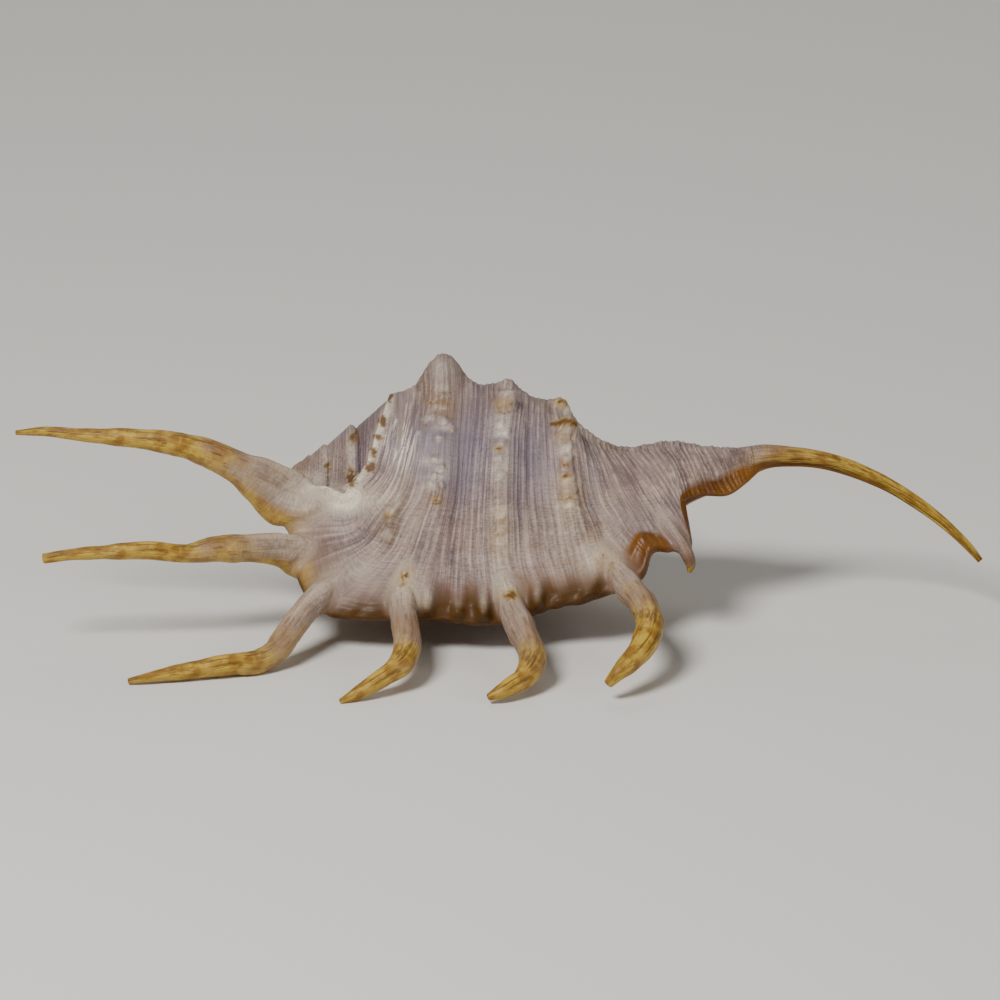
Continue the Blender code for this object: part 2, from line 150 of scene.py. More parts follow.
def pixelOf(points):
    # the pixel at which each point shows
    x = points[..., 0] / photo["pixel"] + photo["middle"]
    up = points[..., 2] * math.cos(photo["elevation"]) + points[..., 1] * math.sin(photo["elevation"])
    return x, photo["middle"] - (up - photo["floorDrop"]) / photo["pixel"]


def ease(value):
    # 0 to 1 with a level start and end
    value = np.clip(value, 0.0, 1.0)
    return value * value * (3.0 - 2.0 * value)


def rises(value, start, length):
    # 0 up to the start, 1 past the length after it
    return ease((value - start) / length)


def falls(value, end, length):
    # 1 down to the length before the end, 0 past the end
    return ease((end - value) / length)


# Stretches of ribs or rows on which a form or a mark shows: the start, the length
# over which it comes in, the end and the length over which it goes
zones = {
    "ridgeRows": (1.2, 1.8, 7.4, 1.0), "outsideRows": (0.7, 0.8, 13.0, 2.0),
    "beadRows": (0.8, 0.8, 8.8, 0.8), "paintRows": (0.6, 0.8, 9.0, 1.0),
    "stainRows": (0.6, 0.8, 8.5, 0.5), "bellyRows": (11.2, 2.2, 15.6, 0.8),
    "marginRibs": (2.5, 1.5, 13.0, 1.0), "growthRibs": (2.0, 1.5, 13.5, 1.0),
    "shadeRibs": (1.0, 1.0, 12.4, 0.6), "goldenRibs": (0.6, 0.8, 4.6, 0.8),
    "notchRibs": (16.0, 2.0, 22.0, 1.0),
}


def zone(value, name):
    # an easing in times an easing out
    start, comesIn, end, goes = zones[name]
    return rises(value, start, comesIn) * falls(value, end, goes)


def softNoise(across, along, seed):
    # value noise from -1 to 1: a hashed height at each whole number, eased between
    cellX, cellY = np.floor(across), np.floor(along)
    shareX, shareY = ease(across - cellX), ease(along - cellY)

    def corner(x, y):
        wave = np.sin(x * 127.1 + y * 311.7 + seed * 74.7) * 43758.5453
        return wave - np.floor(wave)

    low = corner(cellX, cellY) * (1 - shareX) + corner(cellX + 1, cellY) * shareX
    high = corner(cellX, cellY + 1) * (1 - shareX) + corner(cellX + 1, cellY + 1) * shareX
    return 2.0 * (low * (1 - shareY) + high * shareY) - 1.0


def wander(x, y):
    # pixels moved about a little by noise, which makes round marks ragged
    return x + 1.8 * softNoise(x / 6.0, y / 5.0, 51), y + 1.5 * softNoise(x / 5.0, y / 6.0, 52)


def blobs(x, y, places):
    # soft elliptical patches, the strongest at each place
    x, y = wander(x, y)
    amount = np.zeros(x.shape)
    for placeX, placeY, wide, high, strength in places:
        away = ((x - placeX) / wide) ** 2 + ((y - placeY) / high) ** 2
        amount = np.maximum(amount, strength * np.exp(-away))
    return amount


def smoothThrough(rows, steps, closed=False):
    # a cubic through rows of points, with slopes weighted by the gaps between them
    rows = np.asarray(rows, dtype=float)
    if closed:
        padded = np.concatenate([rows[-1:], rows, rows[:2]])
    else:
        padded = np.concatenate([2 * rows[:1] - rows[1:2], rows, 2 * rows[-1:] - rows[-2:-1]])
    gaps = np.sqrt(np.linalg.norm(np.diff(padded, axis=0), axis=-1).mean(axis=1) + 1e-6)
    curve = []
    for i in range(1, len(padded) - 2):
        share = (np.arange(steps[i - 1]) / steps[i - 1])[:, None, None]
        before, here, after = gaps[i - 1:i + 2]
        first, middle, last = np.diff(padded[i - 1:i + 3], axis=0)
        start = (first / before * here + middle / here * before) / (before + here) * here
        end = (middle / here * after + last / after * here) / (here + after) * here
        curve.append(padded[i] * (2 * share ** 3 - 3 * share ** 2 + 1)
                     + start * (share ** 3 - 2 * share ** 2 + share)
                     + padded[i + 1] * (3 * share ** 2 - 2 * share ** 3)
                     + end * (share ** 3 - share ** 2))
    if not closed:
        curve.append(rows[-1:])
    return np.concatenate(curve)


def gridNormals(grid):
    # cross product of the steps along the two directions of the grid
    normals = np.cross(np.gradient(grid, axis=0), np.gradient(grid, axis=1))
    return normals / np.maximum(np.linalg.norm(normals, axis=-1, keepdims=True), 1e-9)


def onCircle(across, centre, radius, angle):
    # a point on a circle square to the picture's width, from an angle in degrees
    turn = math.radians(angle)
    return np.array([across, centre[0] + radius * math.cos(turn), centre[1] + radius * math.sin(turn)])


def whorlRadius(crest, centre):
    # the radius whose outline passes through the crest's pixel
    up = (photo["middle"] - crest[1]) * photo["pixel"] + photo["floorDrop"]
    return up - centre[0] * math.sin(photo["elevation"]) - centre[1] * math.cos(photo["elevation"])


def outerLine(index):
    # the skin of one rib: rolled lip edge, skirt, side, crest, back and columella
    crest, upper, side, skirt, edge, centre, _, _ = ribs[index]
    across = (crest[0] - photo["middle"]) * photo["pixel"]
    radius = whorlRadius(crest, centre)
    lip = [spot(*place) for place in (edge, skirt, side, upper)]
    roll = np.interp(index, body["rollRib"], body["roll"])
    share = body["lipShare"] + body["rollShare"] * roll
    front = [lip[0] + roll * np.array(body["rollShift"]), lip[0] * share + lip[1] * (1 - share),
             lip[1], (lip[1] + lip[2]) / 2, lip[2], lip[3]]
    low = np.interp(index, body["lowRibs"], body["lowShare"])
    back = []
    for angle, reach in body["back"]:
        below = max(0.0, min(1.0, -angle / body["lowAngle"]))
        back.append(onCircle(across, centre, radius * reach * (1 + (low - 1) * below), angle))
    angle, reach = body["columella"]
    return front + back + [onCircle(across, centre, radius * reach * low, angle)]


def bodyRings():
    # one ring a rib: lip tip, outer skin, core and underside of the lip, which lies
    # the wall's thickness inwards along the normals
    outer = np.array([outerLine(index) for index in range(len(ribs))])
    rings = []
    for points, normals, (crest, _, _, _, _, centre, hollow, wall) in zip(outer, gridNormals(outer), ribs):
        inside = [points[row] - normals[row] * thick * wall for row, thick in enumerate(body["wall"])]
        radius = whorlRadius(crest, centre)
        core = [onCircle(points[-1, 0], centre, radius * reach, angle) for angle, reach in body["core"]]
        shut = [inside[-1] + (points[-1] - inside[-1]) * share for share in body["shutShares"]]
        core = [closed + (opened - closed) * hollow for closed, opened in zip(shut, core)]
        tip = (points[0] + inside[0]) / 2 + (points[0] - points[1]) * body["tipShare"]
        rings.append([tip] + list(points) + core[::-1] + inside[::-1])
    return rings


def canalRings():
    # rings square to the canal's centre line, with a slit along the underside
    line = np.array([spot(x, y, depth) for x, y, _, depth in canalLine])
    course = np.gradient(line, axis=0)
    course /= np.linalg.norm(course, axis=1, keepdims=True)
    rings = []
    for centre, forward, (_, _, halfWidth, _) in zip(line, course, canalLine):
        level = np.array([0.0, 1.0, 0.0]) - forward * forward[1]
        level /= np.linalg.norm(level)
        rise = np.cross(forward, level)
        radius = halfWidth * photo["pixel"]

        def point(angle, reach=1.0):
            turn = math.radians(angle)
            return centre + radius * reach * (math.cos(turn) * level + math.sin(turn) * rise)

        ring = [point(canal["lipAngle"])] + [point(angle) for angle in canal["outer"]]
        ring.append(point(canal["columellaAngle"]))
        ring += [point(angle, reach) for angle, reach in canal["inner"][::-1]]
        rings.append(ring)
    return rings


# Relief of the outer skin, in mm, with places in rib and row numbers
relief = {
    # rib, row, height, reach and how flat the top is
    "knobs": [(5.95, 7.75, 5.6, 3.5, 2.6), (9.1, 8.0, 1.6, 2.0, 2.0), (9.0, 6.85, 2.5, 1.9, 3.6),
              (11.25, 8.0, 1.7, 2.1, 2.4), (11.3, 6.45, 2.2, 2.0, 3.8)],
    # rib, height and width in mm, with the troughs between
    "ridges": [(6.1, 0.8, 2.2), (9.1, 1.2, 2.5), (11.4, 1.1, 2.5), (7.6, -0.5, 2.4),
               (10.25, -0.3, 2.4)],
    "cordPixels": 5.6,                 # crest pixels from cord to cord
    "cordHeight": 0.22,
    "cordDelay": 0.35,                 # doublings by which the cords stay behind the stretch
    "broadPixels": 17.0,
    "broadHeight": 0.14,
    "growthHeight": 0.06,
    # row, height in mm, width in rows
    "growthSteps": [(1.95, 0.24, 0.25), (2.45, 0.12, 0.3), (3.3, 0.14, 0.5), (4.1, 0.10, 0.5)],
    "skinDrop": 0.30,                  # keeps the cords' tops level with the solid
    # pixel, half width and half height in pixels, height in mm
    "lumps": [(441, 388, 9, 2.2, 0.30), (444, 397, 9, 2.2, 0.35), (441, 408, 9, 2.4, 0.35),
              (444, 422, 7, 2.6, 0.55), (431, 417, 6, 2.0, 0.45), (452, 430, 5, 2.4, 0.5),
              (440, 440, 5, 3, 0.4), (433, 462, 5, 2.4, 0.7), (441, 468, 4, 2.0, 0.6),
              (437, 477, 5, 2.4, 0.7), (443, 485, 3.5, 3, 0.5), (430, 484, 4, 2.4, 0.4),
              (437, 501, 6, 3.5, 0.5), (499, 427, 6, 3.5, 0.4), (506, 434, 4, 3, 0.3),
              (501, 446, 6, 3.5, 0.5), (498, 461, 6, 4, 0.3), (499, 478, 6, 5, 0.25),
              (499, 503, 7, 2.6, 0.45), (499, 516, 7, 5, 0.3), (499, 531, 6, 3, 0.35),
              (499, 545, 7, 5, 0.3), (500, 561, 9, 2.4, 0.4), (566, 449, 6, 3, 0.35),
              (566, 460, 6, 3, 0.4), (566, 470, 6, 3, 0.35), (567, 481, 6, 4, 0.3),
              (567, 492, 7, 3, 0.4), (567, 506, 8, 4, 0.35), (408, 572, 6, 4, 0.3),
              (405, 586, 6, 3, 0.3), (606, 558, 7, 6, 0.3), (392, 512, 7, 5, 0.35),
              (388, 535, 8, 6, 0.25)],
    "fold": [(419, 432), (409, 455), (406, 478), (396, 505), (389, 528)],
    "foldHeight": 0.95,
    "foldWidth": (1.8, 8.0),           # pixels, to the left and to the right
    "foldEnds": (8.0, 12.0, 16.0),     # pixels past the ends, then the lengths to come in and go
    "ridgeFlat": 2.4,
    "lumpRise": 1.7,                   # times the height in the list
    "marginSmooth": 0.8,
    # pixel, half width and half height in pixels, share of the cords taken away
    "smooth": [(436, 446, 22, 34, 0.55), (340, 505, 34, 16, 0.7), (504, 404, 8, 9, 0.6),
               (565, 432, 9, 8, 0.6), (443, 374, 20, 20, 0.55), (417, 482, 12, 44, 0.6),
               (501, 440, 10, 26, 0.5), (624, 512, 26, 26, 0.55), (430, 578, 60, 18, 0.4),
               (560, 562, 44, 20, 0.35), (412, 508, 14, 30, 0.6)],
}


def cordWave(crestAt, spread):
    # raised cosine cords. Where the lip fans out, spread counts how many times
    # the cords double, and the two nearest counts are mixed
    level = np.clip(spread, 0.0, 2.4)
    low = np.floor(level)
    share = ease((level - low - 0.25) / 0.5)
    phase = crestAt / relief["cordPixels"] + 0.30 * softNoise(crestAt / 9.0, crestAt * 0.0, 3)

    def comb(times):
        return (0.5 + 0.5 * np.cos(2 * math.pi * phase * times)) ** 1.3

    return comb(2.0 ** low) * (1 - share) + comb(2.0 ** (low + 1)) * share


def knobRelief(grid, ribAt, rowAt):
    # height x exp(-(distance / reach) ^ flatness), round each knob and beside each ridge
    height = np.zeros(grid.shape[:2])
    for ribPlace, rowPlace, tall, reach, flat in relief["knobs"]:
        apart = (ribAt[:, None] - ribPlace) ** 2 + (rowAt[None] - rowPlace) ** 2
        nearest = np.unravel_index(np.argmin(apart), height.shape)
        away = np.linalg.norm(grid - grid[nearest], axis=-1) / reach
        height += tall * np.exp(-away ** flat)
    for ribPlace, tall, wide in relief["ridges"]:
        column = np.searchsorted(ribAt, ribPlace)
        away = np.linalg.norm(grid - grid[column][None], axis=-1) / wide
        height += tall * np.exp(-away ** relief["ridgeFlat"]) * zone(rowAt, "ridgeRows")[None]
    return height


def lumpsAround(x, y, size):
    # each lump's height, and the squared distance from it in half widths and half heights
    x, y = wander(x, y)
    return ((tall, ((x - lumpX) / (size * wide)) ** 2 + ((y - lumpY) / (size * high)) ** 2)
            for lumpX, lumpY, wide, high, tall in relief["lumps"])


def foldProfile(x, y):
    # a bell across the fold's line, steep on its left and gentle on its right
    foldX, foldY = np.array(relief["fold"], dtype=float).T
    beside = x - np.interp(y, foldY, foldX)
    steep, gentle = relief["foldWidth"]
    profile = np.exp(-(beside / np.where(beside < 0, steep, gentle)) ** 2)
    past, comesIn, goes = relief["foldEnds"]
    ends = rises(y, foldY[0] - past, comesIn) * falls(y, foldY[-1] + past, goes)
    return profile * (0.85 + 0.3 * softNoise(y / 7.0, x / 30.0, 6)) * ends


def growthRelief(crest, rowAt):
    # old lip edges: height x exp(-(rows past the step / width) ^ 2), three times as steep before it
    height = 0.0 * crest
    for stepRow, tall, wide in relief["growthSteps"]:
        waver = 0.16 * softNoise(crest / 11.0, 0.0 * crest, int(10 * stepRow))
        past = (rowAt[None] - stepRow + waver) / wide
        height += tall * np.exp(-(np.where(past > 0, 1.0, 3.0) * past) ** 2)
    return height


def bodyRelief(grid, ribAt, rowAt, crestAt):
    # the sum of knobs, ridges, lumps, the fold, cords, growth lines and growth steps
    x, y = pixelOf(grid)
    outside = zone(rowAt, "outsideRows")
    front = outside * falls(rowAt, 10.0, 1.0)
    height = knobRelief(grid, ribAt, rowAt)
    for tall, away in lumpsAround(x, y, 1.0):
        height += relief["lumpRise"] * tall * np.exp(-away ** 2.2) * front
    fold = foldProfile(x, y) * front
    height += relief["foldHeight"] * fold

    crest = crestAt[:, None] + 0.0 * rowAt[None]
    step = np.linalg.norm(np.gradient(grid, axis=0), axis=-1) / photo["pixel"]
    stretch = step / np.gradient(crestAt)[:, None]
    nearMargin = falls(rowAt, 2.9, 0.9)[None] * zone(ribAt, "marginRibs")[:, None]
    smoothed = np.maximum(blobs(x, y, relief["smooth"]), relief["marginSmooth"] * nearMargin)
    onBody = falls(ribAt, 21.0, 2.0)[:, None] * (1.0 - smoothed * falls(rowAt, 9.0, 1.0)[None])
    cords = cordWave(crest, np.log2(np.maximum(stretch, 1.0)) - relief["cordDelay"])
    broad = 0.5 + 0.5 * np.cos(2 * math.pi * crest / relief["broadPixels"] + 1.0)
    strength = 0.75 + 0.35 * softNoise(crest / 6.0, rowAt[None] * 0.9, 5)
    height += relief["cordHeight"] * cords * strength * outside * onBody
    height += relief["broadHeight"] * broad * outside * onBody
    growth = softNoise(crest / 40.0, rowAt[None] * 9.0, 8)
    growth += 0.6 * softNoise(crest / 20.0, rowAt[None] * 23.0, 9)
    height += (relief["growthHeight"] * growth - relief["skinDrop"]) * outside
    height += growthRelief(crest, rowAt) * zone(ribAt, "growthRibs")[:, None]
    return height, cords * outside * onBody, fold, smoothed * front


# Waves and pleats of the lip's edge between the digits, and the rear edge's cord
margin = {
    # first and last rib, length in ribs, height in mm
    "waves": [(6.6, 8.8, 0.62, 0.12), (9.6, 11.2, 0.5, 0.12), (4.6, 5.9, 0.8, 0.1)],
    "waveEnds": 0.35,
    # pixel across, half width in pixels, height in mm and how far in from the edge, in rows
    "folds": [(427, 8.0, 1.6, 2.9), (459, 6.0, 1.1, 2.4), (484, 7.0, 1.6, 2.9), (537, 7.0, 1.6, 2.9),
              (560, 6.0, 0.5, 2.1), (588, 8.0, 1.1, 2.3), (350, 9.0, 0.2, 2.0), (374, 8.0, 0.25, 2.0)],
    "foldFlat": 2.6,
    "callusRib": -0.05,
    "callusHeight": 0.65,
    "callusWidth": 0.34,
    "beadStart": 394.0,
    "beadPixels": 15.0,
}


def pleatRelief(x, rowAt):
    # folds of the lip: height x exp(-|pixels across / half width| ^ flatness), in from the edge
    height = np.zeros(x.shape)
    for foldX, wide, tall, inward in margin["folds"]:
        reach = falls(rowAt, inward, 0.8) * rises(rowAt, 1.0, 0.5)
        height += tall * np.exp(-np.abs((x - foldX) / wide) ** margin["foldFlat"]) * reach[None]
    return height


def beadRelief(x, y, ribAt, rowAt):
    # the rear edge's cord: a bell across the ribs x (1 + a cosine down the picture + noise)
    rim = falls(rowAt, 4.2, 1.4)[None]
    beads = 1.0 + 0.25 * np.cos(2 * math.pi * (y - margin["beadStart"]) / margin["beadPixels"])
    beads = beads + (0.30 + 0.5 * rim) * softNoise(x / 7.0, y / 7.0, 33)
    wide = margin["callusWidth"] * (1.0 + 0.9 * rim)
    bump = np.exp(-((ribAt[:, None] - margin["callusRib"]) / wide) ** 2) * beads * (1.0 + 0.5 * rim)
    return margin["callusHeight"] * bump * zone(rowAt, "beadRows")[None]


def marginRelief(grid, ribAt, rowAt):
    # pleats, waves of sin(ribs / length) that fade inwards from the edge, and the beaded cord
    x, y = pixelOf(grid)
    height = pleatRelief(x, rowAt)
    nearEdge = falls(rowAt, 2.3, 1.2) + rises(rowAt, 22.5, 1.5)
    for start, end, length, tall in margin["waves"]:
        window = rises(ribAt, start, margin["waveEnds"]) * falls(ribAt, end, margin["waveEnds"])
        wave = np.sin(2 * math.pi * (ribAt - start) / length + 0.8 * np.sin(ribAt * 5.0))
        height += (tall * window * wave)[:, None] * nearEdge[None]
    return height + beadRelief(x, y, ribAt, rowAt)


# Colour marks. Each is an amount from 0 to 1 at every point of the skin
marks = {
    "stainFrom": 0.22, "stainSoft": 0.55,       # strength at which a stain starts, and its soft edge
    "goldenShare": 0.6,                         # the lip's corner below the first digits
    "canalOchre": 0.9, "bellyOchre": 0.25,
    # the fold's crest and the lumps' tops are pale, partly painted highlight where they catch the light
    "bellyPale": 0.5, "foldPaleAndHighlight": 0.25, "lumpPaleAndHighlight": 0.8,
    "backWarm": 0.35,
    "canalFrom": 20.5,                          # rib from which the lines follow the canal
    "glazeHeldBack": 0.34,                      # rows for each mm of a pleat's height
    "canalGlaze": (21.6, 1.2, 0.32),            # rib, half width in ribs, strength
    # rib, and the row up to which the orange glaze shows round the lip's edge
    "glazeRib": [0, 1, 2, 3, 4, 6, 8, 10, 11.4, 12.2, 13.0, 14.2, 15, 16, 17, 18, 19, 20, 21, 22, 31],
    "glazeRow": [0.5, 0.6, 0.8, 0.9, 1.7, 2.2, 2.5, 2.5, 2.3, 2.45, 2.4, 2.1, 1.7, 1.9, 2.3, 2.9, 3.9,
                 4.3, 4.0, 2.6, -1.0],
    # pixel, half width and half height in pixels, strength
    "stainsAndShadowLines": [(390, 395, 5.0, 3.0, 1.2), (390, 402, 4.4, 1.6, 0.9), (382, 421, 4.2, 5.2, 1.4),
               (379, 437, 4.8, 3.6, 1.4), (375, 453, 3.2, 4.4, 1.3), (371, 467, 5.0, 5.2, 1.5),
               (433, 403, 9.0, 1.6, 0.5), (450, 432, 4.0, 3.0, 0.55), (444, 463, 3.0, 2.2, 0.55),
               (441, 488, 2.6, 4.0, 0.6), (437, 500, 5.0, 4.0, 0.6), (447, 471, 2.0, 3.0, 0.5),
               # (437, 414) and (430, 424), with (433, 455) on the next line: painted shadow lines under the
               # scar's lumps
               (424, 428, 3.0, 1.6, 0.4), (437, 414, 12.0, 1.6, 0.42), (430, 424, 11.0, 1.4, 0.36),
               (452, 445, 2.0, 1.6, 0.4), (433, 455, 4.0, 1.4, 0.36), (390, 515, 3.0, 3.5, 0.35),
               # (503, 413): a painted shadow line under cap 2
               (502, 407, 6.0, 3.4, 0.55), (511, 403, 3.0, 5.0, 0.8), (503, 413, 9.0, 2.0, 0.7),
               (499, 449, 4.0, 2.8, 1.0), (501, 425, 3.0, 3.0, 0.4), (494, 531, 3.0, 6.0, 0.45),
               (501, 560, 9.0, 2.0, 0.35), (511, 594, 7.0, 5.0, 0.85), (562, 402, 4.0, 3.0, 1.1),
               (556, 425, 7.0, 3.2, 1.3), (564, 422, 8.0, 3.2, 1.5), (572, 424, 5.0, 3.6, 1.2),
               (556, 435, 4.0, 3.0, 0.45), (571, 436, 3.0, 4.0, 0.5), (564, 464, 4.0, 4.0, 0.6),
               (566, 476, 6.0, 3.0, 0.7), (564, 499, 10.0, 1.8, 0.5), (499, 503, 8.0, 1.8, 0.4),
               (603, 556, 8.0, 6.0, 0.4), (610, 565, 7.0, 6.0, 0.4), (407, 574, 8.0, 8.0, 0.9),
               (404, 585, 5.0, 4.0, 0.6), (354, 437, 5.0, 10.0, 0.8), (327, 465, 3.5, 6.0, 0.85),
               # (402, 478): painted shade along the fold's steep left side
               (352, 479, 5.5, 13.0, 0.9), (402, 478, 2.0, 16.0, 0.4), (346, 452, 2.0, 14.0, 0.4),
               (324, 452, 2.0, 7.0, 0.4)],
    "cool": [(424, 440, 34, 36, 0.9), (466, 440, 34, 60, 0.85), (440, 470, 30, 20, 0.8),
             (530, 455, 44, 66, 0.7), (591, 480, 6, 40, 0.6), (612, 540, 10, 24, 0.3),
             (398, 440, 22, 40, 0.6), (350, 470, 10, 20, 0.3), (330, 535, 36, 30, 0.2),
             (443, 372, 24, 22, 0.4), (530, 398, 30, 9, 0.6), (500, 470, 12, 50, 0.3)],
    "tan": [(503, 403, 8, 7, 0.4), (500, 450, 6, 4, 0.45), (501, 426, 5, 2, 0.3),
            (565, 422, 12, 4, 0.6), (564, 437, 9, 6, 0.35), (436, 499, 8, 7, 0.4),
            (405, 575, 9, 10, 0.7), (511, 594, 9, 5, 0.7), (606, 561, 9, 8, 0.55),
            (566, 485, 8, 22, 0.25), (500, 532, 8, 30, 0.2), (443, 404, 18, 12, 0.08),
            (389, 514, 4, 4, 0.4), (562, 403, 7, 5, 0.6), (497, 545, 7, 12, 0.25)],
    # the polished patch is less rough and also carries painted white highlight lines
    "polishAndHighlight": [(401, 446, 15, 34, 1.0), (384, 486, 22, 12, 0.4)],
    "warm": [(443, 407, 24, 24, 0.8), (500, 510, 14, 60, 0.5), (566, 480, 14, 46, 0.5),
             (540, 400, 60, 18, 0.5), (443, 366, 22, 14, 0.15), (640, 480, 50, 50, 0.25),
             (560, 560, 60, 30, 0.3)],
    "paleAndHighlight": [(427, 602, 7, 15, 0.6), (459, 608, 5, 9, 0.5), (484, 608, 6, 14, 0.6),
             (537, 602, 6, 14, 0.6), (588, 594, 7, 6, 0.5), (350, 500, 34, 12, 0.75),
             # (433, 462) to (431, 420): pale on the scar's lumps, partly painted highlight where their crests
             # catch the light
             (325, 493, 22, 10, 0.9), (310, 480, 16, 8, 0.8), (433, 462, 9, 3, 0.8),
             (441, 470, 7, 3, 0.7), (437, 478, 8, 3, 0.8), (431, 487, 7, 3, 0.6),
             (445, 428, 9, 3, 0.5), (431, 420, 8, 2, 0.4), (443, 366, 12, 10, 0.25),
             # (505, 393) and (513, 401): cap 2's top and right rims, partly white, partly painted highlight
             (505, 393, 9, 2.5, 0.6), (513, 401, 2.5, 7, 0.5), (501, 434, 9, 5, 0.6),
             (500, 470, 11, 18, 0.3), (500, 512, 12, 9, 0.4), (566, 450, 10, 8, 0.45),
             (567, 482, 10, 8, 0.4), (567, 508, 11, 6, 0.4), (498, 560, 14, 36, 0.25),
             # (401, 446): painted highlight lines on the polished patch
             (560, 520, 22, 40, 0.15), (401, 446, 12, 32, 0.1), (351, 455, 5, 32, 0.55),
             # (567, 411) lightens the knob's front face, partly its white, partly painted light against its
             # shade; (565, 428) and (575, 437) are cap 3's top and right rims, partly white, partly painted
             # highlight
             (326, 458, 3, 14, 0.4), (567, 411, 6, 6, 0.8), (565, 428, 11, 2.5, 0.6),
             (575, 437, 3, 8, 0.5), (503, 425, 9, 14, 0.5), (406, 596, 14, 22, 0.85),
             (362, 566, 30, 16, 0.3), (598, 556, 16, 16, 0.5), (512, 612, 13, 14, 0.6)],
}


def brokenStainsAndShadows(x, y):
    # stains, and painted shadow lines, with ragged edges
    stainAndShadow = blobs(x, y, marks["stainsAndShadowLines"])
    ragged = 0.30 * softNoise(x / 2.2, y / 2.2, 21) + 0.20 * softNoise(x / 1.1, y / 1.4, 22)
    return ease((stainAndShadow + ragged * (stainAndShadow > 0.03) - marks["stainFrom"]) / marks["stainSoft"])


def glazeMark(x, rib, row, across, shade):
    # 1 from the edge up to a row that depends on the rib, held back on the pleats
    reach = np.interp(rib, marks["glazeRib"], marks["glazeRow"])
    reach += 0.10 * softNoise(across / 15.0, row * 0.2, 31)
    for foldX, wide, tall, _ in margin["folds"]:
        away = np.abs((x - foldX) / (1.05 * wide))
        reach -= marks["glazeHeldBack"] * tall * np.exp(-away ** margin["foldFlat"])
    soft = 0.45 + 0.55 * shade + 1.1 * zone(rib, "notchRibs")
    mouth = rises(row, 14.2, 1.0)
    middle, wide, strength = marks["canalGlaze"]
    onCanal = strength * np.exp(-((rib - middle) / wide) ** 2) * falls(row, 9.0, 2.0)
    return np.clip(ease((reach - row) / soft + 0.5) + mouth + onCanal, 0, 1)


def bodyMarks(grid, ribAt, rowAt, crestAt, cords, fold, scar):
    # each mark is a product of eased zones of ribs and rows, with soft patches by pixel
    x, y = pixelOf(grid)
    rib = ribAt[:, None] + 0.0 * rowAt[None]
    row = rowAt[None] + 0.0 * ribAt[:, None]
    across = crestAt[:, None] + 0.0 * row
    front = zone(row, "paintRows")
    # shade: painted shade on the rolled margin between the digits, which turns down away from the light
    shade = falls(row, 2.75, 0.8) * zone(rib, "shadeRibs")
    golden = marks["goldenShare"] * falls(row, 1.9, 0.7) * zone(rib, "goldenRibs")
    # pale on the lumps' tops, partly painted highlight on their crests
    lumpTopsPaleAndHighlight = 0.0 * x
    for tall, away in lumpsAround(x, y, 0.8):
        lumpTopsPaleAndHighlight = np.maximum(lumpTopsPaleAndHighlight, 1.3 * tall * np.exp(-away ** 2.4))
    belly = zone(row, "bellyRows")
    rim = falls(row, 4.4, 1.6)
    callusEdge = np.exp(-((rib - 0.05 - 0.25 * rim) / (0.30 + 0.55 * rim)) ** 2) * falls(row, 9.0, 0.6)
    canalTint = rises(rib, 19.7 - 0.3 * (6.0 - np.minimum(row, 12.0)), 2.8)
    paleAndHighlight = blobs(x, y, marks["paleAndHighlight"]) * front + callusEdge + marks["bellyPale"] * belly
    # the fold's crest and the lumps' tops, partly painted highlight
    paleAndHighlight += marks["foldPaleAndHighlight"] * rises(fold, 0.6, 0.4) + marks["lumpPaleAndHighlight"] * lumpTopsPaleAndHighlight * front
    ochre = marks["canalOchre"] * canalTint + marks["bellyOchre"] * belly + golden
    ochre += blobs(x, y, marks["tan"]) * front
    stepLength = np.linalg.norm(np.diff(grid, axis=1), axis=-1)[ribAt < 12.0].mean(axis=0)
    along = np.concatenate([[0.0], np.cumsum(stepLength)])[None] + 0.0 * rib
    onCanal = rib > marks["canalFrom"]
    return {
        "glaze": glazeMark(x, rib, row, across, shade),
        "ochre": np.clip(ochre, 0, 1),
        "stainAndShadow": brokenStainsAndShadows(x, y) * zone(row, "stainRows"),
        "paleAndHighlight": np.clip(paleAndHighlight, 0, 1),
        "cool": blobs(x, y, marks["cool"]) * front,
        "warm": np.clip(blobs(x, y, marks["warm"]) * front + marks["backWarm"] * (1 - front), 0, 1),
        "polishAndHighlight": blobs(x, y, marks["polishAndHighlight"]) * front,
        "cords": cords, "shade": shade, "scar": scar,
        "dash": canalTint * falls(row, 9.0, 2.0) * (1.0 - 0.8 * rises(rib, 26.5, 3.5)),
        "across": np.where(onCanal, row * 6.0, across),
        "along": np.where(onCanal, x * photo["pixel"], along),
    }


markNames = ["glaze", "ochre", "stainAndShadow", "paleAndHighlight", "cool", "warm", "polishAndHighlight", "cords", "shade", "scar",
             "dash", "across", "along"]


def paintedForm(points, faces, painted):
    # a mark that isn't given is 0 at every point
    amounts = {mark: painted.get(mark, 0.0) + np.zeros(len(points)) for mark in markNames}
    return {"points": points, "faces": faces, "marks": amounts}


def ringFaces(count, size, firstPole=None, lastPole=None):
    # quads of a grid that closes around, and fans to the poles if there are any
    column = np.arange(count - 1)[:, None] * size
    here = np.arange(size)[None]
    after = (here + 1) % size
    quads = np.stack([column + here, column + size + here, column + size + after, column + after], axis=-1)
    faces = [tuple(face) for face in quads.reshape(-1, 4).tolist()]
    if firstPole is not None:
        faces += [(firstPole, i, (i + 1) % size) for i in range(size)]
        last = (count - 1) * size
        faces += [(lastPole, last + (i + 1) % size, last + i) for i in range(size)]
    return faces


def endStrip(first, size, flip):
    # faces that join the outer and inner halves of an end ring
    faces = []
    for j in range(size // 2):
        corners = [first + j, first + j + 1, first + size - j - 1, first + (size - j) % size]
        face = list(dict.fromkeys(corners[::-1] if flip else corners))
        if len(face) > 2:
            faces.append(tuple(face))
    return faces


